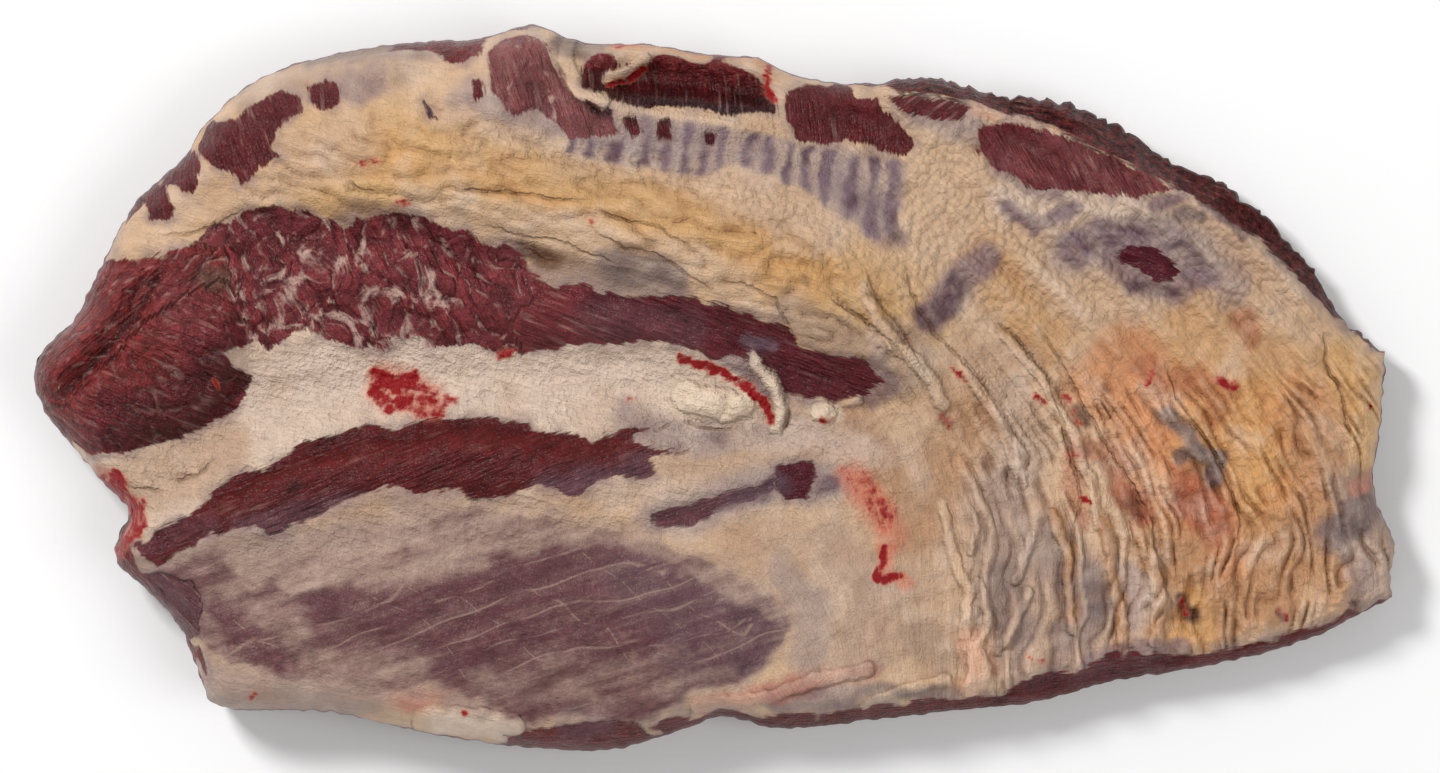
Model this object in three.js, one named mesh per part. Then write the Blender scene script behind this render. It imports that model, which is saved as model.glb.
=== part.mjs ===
// A whole raw beef brisket, untrimmed, lying flat with its fat cap up.
// Millimetres, +Z up. +X runs from the thick end to the thin end, and +Y to the far side.
// The origin is the middle of its footprint, at the level that the meat lies on.
import * as THREE from "three";
import { mergeGeometries, mergeVertices } from "three/addons/utils/BufferGeometryUtils.js";

// Driving sizes.
const LENGTH = 562;
const WIDTH = 299;
const THICK_END = 50; // thickness of the plain slab at each end, without the forms on top
const THIN_END = 31;
const TAPER_START = -120; // the slab thins from this X to the thin end
const SHOULDER = 14; // how far in from the edge the top is fully up
const RIM_SHARE = 0.45; // the side is widest at this share of the thickness
const BASE_INSET = 9; // how far the underside's edge lies in from the widest line

// Broad folds of the fat over the thin end.
const FOLD_PITCH = 25;
const FOLD_HEIGHT = 1.7;
const FOLD_START = 85; // X where the folds begin, and how far they take to rise
const FOLD_ONSET = 45;
const FOLD_SQUARE_TO = 70; // the folds run straight across from the near edge in to Y = -70,
const FOLD_BEND = 100; // and lean over from there, to 45 degrees this much further in

// The mesh: columns along X, rows along Y, and rings down the side.
const COLUMNS = 88;
const ROWS = 40;
const RINGS = 5;
const CROWDING = 0.3; // how much closer the outer columns and rows stand
const OUTLINE_STEPS = 240; // along each of the four sides, for measuring the distance to the edge
const WELD = 1e-3;

// The outline, as four smooth curves between its corners: [x, y].
const TIP = [-281, 1];
const NEAR_LEFT = [-209, -129];
const NEAR_RIGHT = [280, -87];
const FAR_RIGHT = [278, 12];
const THICK_SIDE = [
  NEAR_LEFT, [-214, -116], [-221, -99], [-234, -84], [-247, -72], [-246, -61], [-242, -51],
  [-253, -39], [-262, -28], [-276, -11], TIP,
];
const THIN_SIDE = [
  NEAR_RIGHT, [279, -77], [281, -65], [274, -48], [272, -36], [275, -18], [276, 0], FAR_RIGHT,
];
const NEAR_SIDE = [
  NEAR_LEFT, [-198, -133], [-160, -134], [-122, -142], [-85, -148], [-44, -149.5], [-18, -143],
  [3, -136], [27, -141], [60, -138], [100, -133.5], [133, -130], [162, -122], [205, -115],
  [243, -105], NEAR_RIGHT,
];
const FAR_SIDE = [
  TIP, [-279, 13], [-264, 29], [-256, 45], [-240, 75], [-220, 94], [-209, 110], [-189, 127],
  [-163, 136], [-130, 142], [-98, 144], [-76, 149.5], [-55, 142.5], [-28, 141.5], [0, 137.5],
  [18, 136], [32, 129], [60, 125.5], [86, 128], [118, 121], [147, 117], [168, 107], [180, 99.5],
  [190, 92], [212, 83], [232, 66], [247, 49], [258, 30], FAR_RIGHT,
];

// Forms of the top. Each follows a crest of [x, y], swells to its rise and dies away at both ends,
// and falls off within its reach on the left and on the right of someone who walks along it.
// A hollow has a negative rise.
const END_FADE = 0.3; // share of a crest over which its form swells, at either end
const FORMS = {
  fatRoll: {
    rise: 19,
    left: 60,
    right: 27,
    crest: [
      [-246, 58], [-192, 82], [-140, 86], [-90, 77], [-40, 62], [10, 48], [52, 29], [95, 2],
      [140, -26],
    ],
  },
  pointMuscle: {
    rise: 9,
    left: 34,
    right: 34,
    crest: [[-274, -4], [-256, 8], [-236, 22], [-206, 39], [-178, 48]],
  },
  pointMuscleEdge: {
    rise: 7,
    left: 13,
    right: 26,
    crest: [[-207, 46], [-202, 26], [-201, 8], [-214, -8], [-240, -17], [-268, -8]],
  },
  creaseInPoint: { rise: -6, left: 10, right: 10, crest: [[-274, -6], [-258, 6], [-238, 29], [-224, 54]] },
  marbledBand: {
    rise: 6,
    left: 24,
    right: 20,
    crest: [[-205, 44], [-165, 47], [-120, 46], [-60, 31], [0, 22], [66, -1]],
  },
  seamOfSoftFat: {
    rise: -9,
    left: 27,
    right: 27,
    crest: [[-258, -44], [-225, -28], [-190, -8], [-130, 2], [-80, 3], [-30, 3], [10, -12], [72, -30]],
  },
  lobeInSeam: { rise: 7, left: 14, right: 14, crest: [[-24, 2], [-10, -4], [6, -9], [20, -13]] },
  flatMuscleEdge: {
    rise: 8,
    left: 12,
    right: 26,
    crest: [[-238, -70], [-210, -56], [-175, -41], [-110, -25], [-60, -29], [-12, -37]],
  },
  flatMuscle: {
    rise: 5,
    left: 46,
    right: 46,
    crest: [[-220, -88], [-160, -95], [-100, -100], [-20, -98], [40, -90]],
  },
  pocket: {
    rise: -13,
    left: 15,
    right: 10,
    crest: [[-60, 129], [-40, 127], [-10, 125], [12, 122], [30, 118]],
  },
  pocketLip: {
    rise: 7,
    left: 9,
    right: 18,
    crest: [[-70, 132], [-55, 118], [-30, 111], [0, 108], [36, 104]],
  },
  foldAtFarEdge: { rise: 9, left: 22, right: 22, crest: [[-100, 104], [-90, 122], [-78, 134], [-60, 126]] },
  bareMeatByPocket: { rise: -4, left: 13, right: 13, crest: [[26, 117], [46, 113], [66, 107], [86, 92]] },
  bareMeatAtFarEdge: { rise: -4, left: 13, right: 11, crest: [[100, 103], [125, 98], [155, 90], [196, 77]] },
  leanLedgeFarSide: {
    rise: -9,
    left: 32,
    right: 10,
    crest: [
      [62, 128], [92, 125], [125, 117], [158, 106], [192, 87], [224, 66], [248, 41], [266, 20],
      [279, 0],
    ],
  },
  leanLedgeNearSide: {
    rise: -6,
    left: 10,
    right: 24,
    crest: [[-60, -146], [-30, -142], [30, -137], [90, -132], [145, -122], [200, -113], [280, -86]],
  },
};

const clampShare = (value) => Math.min(1, Math.max(0, value));
const smooth = (share) => clampShare(share) ** 2 * (3 - 2 * clampShare(share));
const quarterRound = (share) => Math.sqrt(1 - (1 - clampShare(share)) ** 2);
const spread = (share) => share - (CROWDING * Math.sin(2 * Math.PI * share)) / (2 * Math.PI);

function curveThrough(points) {
  return new THREE.SplineCurve(points.map(([x, y]) => new THREE.Vector2(x, y)));
}

const sides = {
  thick: curveThrough(THICK_SIDE),
  thin: curveThrough(THIN_SIDE),
  near: curveThrough(NEAR_SIDE),
  far: curveThrough(FAR_SIDE),
};
const outlines = Object.values(sides).map((side) =>
  side.getSpacedPoints(OUTLINE_STEPS).map((point) => [point.x, point.y]),
);

// Where a line comes closest to (x, y): the distance, how many of its points on, and which side.
function closest(line, x, y) {
  let best = { distance: Infinity };
  for (let i = 0; i + 1 < line.length; i += 1) {
    const [ax, ay] = line[i];
    const dx = line[i + 1][0] - ax;
    const dy = line[i + 1][1] - ay;
    const share = clampShare(((x - ax) * dx + (y - ay) * dy) / (dx * dx + dy * dy));
    const distance = Math.hypot(x - ax - share * dx, y - ay - share * dy);
    if (distance < best.distance) {
      best = { distance, index: i, share, onLeft: dx * (y - ay) - dy * (x - ax) > 0 };
    }
  }
  return best;
}

function formRise({ rise, left, right, crest }, x, y) {
  const { distance, index, share, onLeft } = closest(crest, x, y);
  const along = (index + share) / (crest.length - 1);
  const fall = clampShare(distance / (onLeft ? left : right));
  return rise * smooth(Math.min(along, 1 - along) / END_FADE) * (1 - fall ** 2) ** 2;
}

function foldRise(x, y) {
  const fromNearEdge = Math.max(0, y + FOLD_SQUARE_TO);
  const across = x + fromNearEdge ** 2 / (2 * FOLD_BEND);
  const onset = smooth((x - FOLD_START) / FOLD_ONSET);
  return FOLD_HEIGHT * onset * Math.sin((2 * Math.PI * across) / FOLD_PITCH + Math.sin(y / FOLD_PITCH));
}

function topHeight({ x, y }) {
  const taper = smooth((x - TAPER_START) / (LENGTH / 2 - TAPER_START));
  const slab = THICK_END + (THIN_END - THICK_END) * taper;
  const relief = Object.values(FORMS).reduce((sum, form) => sum + formRise(form, x, y), foldRise(x, y));
  const fromEdge = Math.min(...outlines.map((outline) => closest(outline, x, y).distance));
  const rim = RIM_SHARE * slab;
  return rim + (slab + relief - rim) * quarterRound(fromEdge / SHOULDER);
}

// A point of the plan by column and row: the four sides, blended into a surface between them.
function planPoint(column, row) {
  const u = spread(column / COLUMNS);
  const v = spread(row / ROWS);
  const near = sides.near.getPointAt(u);
  const far = sides.far.getPointAt(u);
  const thick = sides.thick.getPointAt(v);
  const thin = sides.thin.getPointAt(v);
  const blend = (along) => {
    const corners =
      (1 - v) * ((1 - u) * NEAR_LEFT[along] + u * NEAR_RIGHT[along]) +
      v * ((1 - u) * TIP[along] + u * FAR_RIGHT[along]);
    const axis = along === 0 ? "x" : "y";
    return (1 - v) * near[axis] + v * far[axis] + (1 - u) * thick[axis] + u * thin[axis] - corners;
  };
  return { x: blend(0), y: blend(1) };
}

// The grid's border, counter-clockwise seen from above.
function borderPoints() {
  const steps = [];
  for (let column = 0; column < COLUMNS; column += 1) steps.push([column, 0]);
  for (let row = 0; row < ROWS; row += 1) steps.push([COLUMNS, row]);
  for (let column = COLUMNS; column > 0; column -= 1) steps.push([column, ROWS]);
  for (let row = ROWS; row > 0; row -= 1) steps.push([0, row]);
  return steps.map(([column, row]) => planPoint(column, row));
}

// Down the side from the widest line: it rounds in under the meat until it meets the underside.
function sidePoint(spot, rimHeight, turn) {
  const inset = BASE_INSET * (1 - Math.cos(turn));
  const x = spot.x * (1 - (2 * inset) / LENGTH);
  const y = spot.y * (1 - (2 * inset) / WIDTH);
  return new THREE.Vector3(x, y, rimHeight * (1 - Math.sin(turn)));
}

function topSkin() {
  const skin = new THREE.PlaneGeometry(1, 1, COLUMNS, ROWS);
  const position = skin.attributes.position;
  for (let i = 0; i < position.count; i += 1) {
    const spot = planPoint(i % (COLUMNS + 1), ROWS - Math.floor(i / (COLUMNS + 1)));
    position.setXYZ(i, spot.x, spot.y, topHeight(spot));
  }
  return skin;
}

function sideSkin(border) {
  const skin = new THREE.PlaneGeometry(1, 1, border.length, RINGS);
  const position = skin.attributes.position;
  const rimHeights = border.map(topHeight);
  for (let i = 0; i < position.count; i += 1) {
    const step = (i % (border.length + 1)) % border.length;
    const turn = (Math.floor(i / (border.length + 1)) / RINGS) * (Math.PI / 2);
    const { x, y, z } = sidePoint(border[step], rimHeights[step], turn);
    position.setXYZ(i, x, y, z);
  }
  return skin;
}

// The flat underside: its shape is drawn mirrored and turned over, so that it faces down.
function underside(border) {
  const edge = border.map((spot) => sidePoint(spot, 0, Math.PI / 2));
  const shape = new THREE.Shape(edge.map(({ x, y }) => new THREE.Vector2(-x, y)));
  return new THREE.ShapeGeometry(shape).rotateY(Math.PI);
}

function brisketGeometry() {
  const border = borderPoints();
  const skins = [topSkin(), sideSkin(border), underside(border)];
  for (const skin of skins) {
    skin.deleteAttribute("normal");
    skin.deleteAttribute("uv");
  }
  const geometry = mergeVertices(mergeGeometries(skins), WELD);
  geometry.computeBoundingBox();
  const { min, max } = geometry.boundingBox;
  geometry.translate(-(min.x + max.x) / 2, -(min.y + max.y) / 2, 0);
  geometry.scale(LENGTH / (max.x - min.x), WIDTH / (max.y - min.y), 1);
  geometry.computeVertexNormals();
  return geometry;
}

const meat = new THREE.MeshStandardMaterial({ color: 0x9a7b6b, roughness: 0.42, metalness: 0 });
const brisket = new THREE.Mesh(brisketGeometry(), meat);
brisket.name = "brisket";

const group = new THREE.Group();
group.add(brisket);

export default group;
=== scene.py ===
"""The looks of a whole raw beef brisket: its folds, bare muscle, fat, silver skin and stains.

Sizes and places in the plan are in millimetres, in the frame's own axes: +X from the thick point
end to the thin flat end, +Y to the far side. They become metres where the mesh is made.
"""
import math
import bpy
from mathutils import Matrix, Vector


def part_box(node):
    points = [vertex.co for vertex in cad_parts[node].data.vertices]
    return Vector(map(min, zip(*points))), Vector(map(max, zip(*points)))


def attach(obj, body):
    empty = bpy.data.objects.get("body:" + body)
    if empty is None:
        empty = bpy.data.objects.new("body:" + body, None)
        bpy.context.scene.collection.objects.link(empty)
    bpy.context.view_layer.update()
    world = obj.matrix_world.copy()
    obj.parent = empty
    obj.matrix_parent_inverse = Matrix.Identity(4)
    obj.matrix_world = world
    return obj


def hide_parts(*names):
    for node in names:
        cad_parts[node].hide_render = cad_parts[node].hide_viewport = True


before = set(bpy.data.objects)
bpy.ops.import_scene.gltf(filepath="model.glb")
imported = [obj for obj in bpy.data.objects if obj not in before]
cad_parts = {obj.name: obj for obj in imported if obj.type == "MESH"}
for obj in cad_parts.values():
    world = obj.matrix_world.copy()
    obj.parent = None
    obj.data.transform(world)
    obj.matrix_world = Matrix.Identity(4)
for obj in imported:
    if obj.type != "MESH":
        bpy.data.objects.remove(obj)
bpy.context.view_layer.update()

from types import SimpleNamespace

import bpy
import numpy as np
from mathutils import Vector

MM = 0.001
CAD_LOW, CAD_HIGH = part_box("brisket")
LENGTH = (CAD_HIGH.x - CAD_LOW.x) / MM
WIDTH = (CAD_HIGH.y - CAD_LOW.y) / MM

# The slab and its broad folds, as in the CAD part.
THICK_END = 50  # thickness of the plain slab at each end, without the forms on top
THIN_END = 31
TAPER_START = -120  # the slab thins from this X to the thin end
SHOULDER = 14  # how far in from the edge the top is fully up
RIM_SHARE = 0.45  # the side is widest at this share of the thickness
BASE_INSET = 9  # how far the underside's edge lies in from the widest line
END_FADE = 0.3  # share of a crest over which its form swells, at either end
FOLD_PITCH = 25
FOLD_HEIGHT = 1.7
FOLD_START = 85  # X where the folds begin, and how far they take to rise
FOLD_ONSET = 45
FOLD_SQUARE_TO = 70  # the folds run straight across from the near edge in to Y = -70,
FOLD_BEND = 100  # and lean over from there, to 45 degrees this much further in

# The fine mesh.
COLUMNS = 440
ROWS = 184
RINGS = 10
CROWDING = 0.2  # how much closer the outer columns and rows stand
OUTLINE_STEPS = 150  # along each of the four sides, for measuring the distance to the edge
SHOULDER_SPREAD = 0.8  # how far texture spreads outwards for each millimetre that the top drops
OUTWARD_REACH = 8  # how much of the outline tells which way is outwards
RAGGED = 0.7  # how uneven the outline is, how much more where it is cut, and how far in
RAGGED_CUT = 1.3
RAGGED_DEPTH = 4
RIM_FADE = 7  # hollows and crests fade this near the edge

# The sides.
FAT_CAP = 0.4  # how thick the fat is there, as a share of the slab
SIDE_SWAY = 7  # how far what covers the top sways where it goes down them
SEAM_BELOW = 10  # how far the pale seam lies below the rim
FRAYED_TOP = 3.5  # how far fibres fray the edge of the bare muscle, on the top and on the sides
FRAYED_SIDE = 0.6

# The way the fat is drawn: the slope of its lines over the thick end, the X by which they have
# turned down over the thin end, and where the distances along and across them are counted from.
FLOW_SLOPE = 0.24
FLOW_TURNED_BY = 110
FLOW_LEVEL_SHIFT = 140
FLOW_FOLD_SHIFT = 28
FLOW_FROM_Y = 83
STRAND_PITCH = 6.5  # from strand to strand, where the fat is folded

# Where these begin and where they are full, along X and along Y: the cut far side, the closely folded
# fat, its loose strands at either end, and the fat that is swollen, rough and granular.
CUT_X, CUT_Y = (50, 90), (-20, 20)
FOLDED_X, FOLDED_Y = (75, 115), (35, -15)
LOOSE_FROM_X, LOOSE_TO_X, LOOSE_Y = (85, 100), (175, 155), (-32, -57)
SWOLLEN_X, SWOLLEN_Y = (60, 120), (70, 30)
ROUGH_X = (20, 80)
GRAINY_X, GRAINY_Y = (40, 90), (5, 45)

# How high the fine relief is. Pillows and creases have their heights below, with their places.
STRAND_HEIGHT = 2.8
ROPE_HEIGHT = 2.4
SWELL_HEIGHT = 1
SWELL_AT_FOLDS = 1.5  # this much more where the folds begin
GRAIN_HEIGHT = 0.8
UNEVEN_HEIGHT = 1.3
BUNDLE_HEIGHT = 1.6

# Noise in code: how many cells it has before it repeats, and what brings it to about -1 to 1.
NOISE_CELLS = 256
NOISE_GAIN = 1.6
FAR_AWAY = 100.0  # further than anything that matters

# The outline in plan, as four smooth curves between its corners.
TIP = (-281, 1)
NEAR_LEFT = (-209, -129)
NEAR_RIGHT = (280, -87)
FAR_RIGHT = (278, 12)
THICK_SIDE = [
    NEAR_LEFT, (-214, -116), (-221, -99), (-234, -84), (-247, -72), (-246, -61), (-242, -51),
    (-253, -39), (-262, -28), (-276, -11), TIP,
]
THIN_SIDE = [
    NEAR_RIGHT, (279, -77), (281, -65), (274, -48), (272, -36), (275, -18), (276, 0), FAR_RIGHT,
]
NEAR_SIDE = [
    NEAR_LEFT, (-198, -133), (-160, -134), (-122, -142), (-85, -148), (-44, -149.5), (-18, -143),
    (3, -136), (27, -141), (60, -138), (100, -133.5), (133, -130), (162, -122), (205, -115),
    (243, -105), NEAR_RIGHT,
]
FAR_SIDE = [
    TIP, (-279, 13), (-264, 29), (-256, 45), (-240, 75), (-220, 94), (-209, 110), (-189, 127),
    (-163, 136), (-130, 142), (-98, 144), (-76, 149.5), (-55, 142.5), (-28, 141.5), (0, 137.5),
    (18, 136), (32, 129), (60, 125.5), (86, 128), (118, 121), (147, 117), (168, 107),
    (180, 99.5), (190, 92), (212, 83), (232, 66), (247, 49), (258, 30), FAR_RIGHT,
]

# Forms of the top: rise, reach on the left and right of the crest, and the crest.
FORMS = {
    "fat_roll": (19, 60, 27, [
        (-246, 58), (-192, 82), (-140, 86), (-90, 77), (-40, 62), (10, 48), (52, 29), (95, 2),
        (140, -26),
    ]),
    "point_muscle": (9, 34, 34, [(-274, -4), (-256, 8), (-236, 22), (-206, 39), (-178, 48)]),
    "point_muscle_edge": (7, 11, 26, [
        (-207, 46), (-202, 26), (-201, 8), (-214, -8), (-240, -17), (-268, -8),
    ]),
    "crease_in_point": (-6, 9, 9, [(-274, -6), (-258, 6), (-238, 29), (-224, 54)]),
    "marbled_band": (6, 24, 20, [(-205, 44), (-165, 47), (-120, 46), (-60, 31), (0, 22), (66, -1)]),
    "seam_of_soft_fat": (-9, 27, 27, [
        (-258, -44), (-225, -28), (-190, -8), (-130, 2), (-80, 3), (-30, 3), (10, -12), (72, -30),
    ]),
    "flat_muscle_edge": (8, 11, 26, [
        (-238, -70), (-210, -56), (-175, -41), (-110, -25), (-60, -29), (-12, -37),
    ]),
    "flat_muscle": (5, 46, 46, [(-220, -88), (-160, -95), (-100, -100), (-20, -98), (40, -90)]),
    "pocket": (-14, 14, 8, [(-60, 129), (-40, 127), (-10, 125), (12, 122), (30, 118)]),
    "pocket_lip": (7, 7, 18, [(-70, 132), (-55, 118), (-30, 111), (0, 108), (36, 104)]),
    "fold_at_far_edge": (9, 22, 22, [(-100, 104), (-90, 122), (-78, 134), (-60, 126)]),
    "bare_meat_by_pocket": (-4, 13, 13, [(26, 117), (46, 113), (66, 107), (86, 92)]),
    "bare_meat_at_far_edge": (-4, 13, 11, [(100, 103), (125, 98), (155, 90), (196, 77)]),
    "lean_ledge_far_side": (-9, 32, 8, [
        (62, 128), (92, 125), (125, 117), (158, 106), (192, 87), (224, 66), (248, 41), (266, 20),
        (279, 0),
    ]),
    "lean_ledge_near_side": (-6, 8, 24, [
        (-60, -146), (-30, -142), (30, -137), (90, -132), (145, -122), (200, -113), (280, -86),
    ]),
}

# Where the fat is creased, most along the near side of its roll: half width, strength and line.
CREASED = [
    (13, 1, [(-150, 76), (-110, 72), (-70, 63), (-30, 55), (10, 43), (50, 22), (75, 0)]),
    (9, 0.7, [(-60, 78), (-20, 68), (20, 54), (60, 34)]),
    (8, 0.5, [(-225, 64), (-200, 70), (-180, 76)]),
    (10, 0.35, [(-240, -38), (-215, -34), (-180, -20)]),
]

# Where the roll of fat swells in pillows: half width, strength and line.
PILLOWS = [
    (15, 1, [(-178, 88), (-140, 92), (-100, 92), (-60, 82), (-15, 68), (30, 50), (64, 26)]),
    (9, 0.7, [(-110, 104), (-80, 98), (-40, 90), (0, 80)]),
]
PILLOW_LENGTH = 24
PILLOW_WIDTH = 10
PILLOW_HEIGHT = 3

# Where the soft fat is flaky: half width, strength and line.
FLAKY = [
    (26, 1, [(-235, -34), (-200, -14), (-150, 3), (-90, 5), (-30, 0), (10, -8)]),
    (20, 0.7, [(-30, -28), (20, -30), (60, -34)]),
    (9, 0.8, [(-46, 114), (-30, 113), (-5, 111), (15, 106), (40, 94)]),
    (12, 0.6, [(-180, -62), (-140, -58), (-90, -56), (-30, -56)]),
]

# Where the fat is granular besides the far right: half width, strength and line.
GRAINY = [
    (6, 0.8, [(-100, 101), (-70, 97), (-40, 92), (-10, 86), (15, 80), (40, 68), (60, 55)]),
    (12, 0.7, [(10, 76), (35, 62), (55, 46)]),
]

# Strands of fat that lie loose and have a colour of their own.
LOOSE_STRANDS = {
    "short": [(42, -9), (47, -11)],
    "bent": [(60, 40), (66, 28), (73, 18), (80, 12), (88, 4), (93, -7)],
    "first": [(93, -48), (97, -68), (104, -84), (102, -102)],
    "second": [(139, -52), (145, -70), (145, -84), (147, -99)],
    "third": [(160, -54), (163, -74), (167, -94), (168, -108)],
    "fourth": [(174, -56), (179, -70), (183, -86), (181, -104)],
}

# Small loose lobes and strands of fat: height, half width and the line that each follows.
LOBES = [
    (6.5, 8, [(-12, -3), (-5, -6), (3, -8)]),
    (4.5, 6, [(6, -9), (12, -7)]),
    (3.0, 4, [(-4, -2), (6, -4)]),
    (4.5, 3.2, [(15, 13), (19, 6), (25, -2), (27, -9), (25, -17)]),
    (4.5, 5, LOOSE_STRANDS["short"]),
    (2.5, 2.5, [(54, -6), (59, -5)]),
    (3.0, 6, [(106, -108), (109, -116), (105, -124)]),
    (3.5, 3, [(-44, 127), (-36, 130), (-28, 135)]),
    (3.5, 3.5, LOOSE_STRANDS["bent"]),
    (2.5, 4, [(-59, 146), (-62, 134), (-56, 121), (-46, 117)]),
    (2.0, 4, [(-8, -131), (20, -127), (45, -119), (62, -116)]),
    (2.0, 3, [(60, -132), (75, -124), (95, -120)]),
    (2.5, 8, [(-118, -138), (-100, -137), (-84, -139)]),
    (2.4, 3, LOOSE_STRANDS["first"]),
    (2.0, 2, [(107, -52), (105, -68)]),
    (2.4, 3, [(130, -60), (127, -70), (124, -79)]),
    (2.6, 3, LOOSE_STRANDS["second"]),
    (2.6, 3, LOOSE_STRANDS["third"]),
    (2.6, 4, LOOSE_STRANDS["fourth"]),
    (2.2, 3, [(108, -80), (112, -94), (108, -108)]),
    (2.2, 3, [(116, -108), (124, -96), (128, -84)]),
    (2.2, 3, [(100, 10), (112, -6), (122, -26), (126, -40)]),
    (2.2, 3, [(118, 22), (134, 4), (146, -18), (156, -44), (158, -56)]),
]

# Long thin creases, how deep they are and how far to each side of them the surface dips.
CREASE_DEPTH = 0.9
CREASE_REACH = 1.6
CREASES = [
    [(-112, 81), (-96, 80), (-78, 79), (-65, 76.5), (-50, 76)],
    [(-50, 73), (-37, 68), (-25, 66.5), (-10, 57)],
    [(-55, 67), (-37, 57), (-27, 55), (-18, 51), (-10, 45), (0, 40)],
    [(0, 44), (15, 41), (25, 35), (32, 20)],
    [(45, 38), (60, 28), (70, 20), (80, 8)],
    [(60, 52), (66, 36), (76, 24), (90, 0)],
    [(-150, 85), (-145, 81), (-138, 80)],
    [(-78, 57), (-73, 54), (-66, 51)],
    [(-96, 66), (-80, 62), (-66, 60), (-52, 55), (-40, 50)],
    [(-228, 62), (-215, 63), (-205, 66), (-192, 73)],
    [(-271, -3), (-265, 0), (-257, 7), (-250, 15), (-238, 28), (-229, 44), (-226, 52)],
    [(78, 52), (80, 38), (90, 22), (106, 6), (118, -8)],
    [(112, 30), (122, 22), (136, 6), (143, -14), (150, -45), (146, -70)],
    [(128, 32), (140, 14), (150, -5), (165, -30), (180, -55), (183, -75), (190, -100)],
    [(184, 14), (190, -4), (206, -28), (216, -52), (214, -78)],
    [(250, 24), (252, 8), (258, -4), (262, -24)],
    [(-240, -41), (-232, -41.5), (-226, -43)],
    [(-222, -38), (-212, -36), (-206, -31)],
    [(-176, -44), (-168, -38)],
    [(-24, -18), (-18, -15)],
    [(-16, -28), (-10, -24.5)],
    [(-14, -14), (-2, -17), (8, -17)],
    [(28, -18), (30, -8)],
]

# Colours, as they are written for a screen: red, green, blue.
PALETTE = {
    "white fat": (219, 195, 176),
    "tallow": (232, 210, 184),
    "salmon": (206, 108, 84),
    "cream": (206, 172, 141),
    "yellow": (203, 162, 114),
    "amber": (198, 148, 94),
    "orange": (200, 132, 86),
    "rust": (158, 80, 56),
    "pink": (208, 160, 132),
    "rose": (182, 116, 100),
    "sand": (193, 160, 134),
    "straw": (177, 132, 96),
    "grey": (156, 132, 120),
    "lilac": (162, 143, 139),
    "film": (150, 124, 120),
    "slate": (112, 95, 94),
    "blue": (118, 95, 106),
    "violet": (84, 56, 66),
    "dusk": (88, 60, 48),
    # The brown of fine fissures and of the painted shade in creases, folds and hollows of the fat.
    "crease": (112, 72, 46),
    "mist": (177, 150, 137),
    "lobe": (112, 38, 38),
    "marbled": (108, 42, 46),
    "plum": (80, 20, 31),
    "strip": (88, 23, 25),
    "liver": (90, 28, 31),
    "pocket": (104, 32, 34),
    # Painted shadow: beneath the pocket's lip and on the point muscle's lower right.
    "painted_shadow": (42, 15, 17),
    "cut": (84, 30, 29),
    "edge": (102, 36, 35),
    "under skin": (98, 58, 63),
    "mauve": (104, 80, 90),
    "marbling": (194, 158, 146),
    "faded": (120, 66, 66),
    "brown": (62, 30, 26),
    "blood": (142, 20, 24),
    "olive": (92, 72, 56),
}

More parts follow.
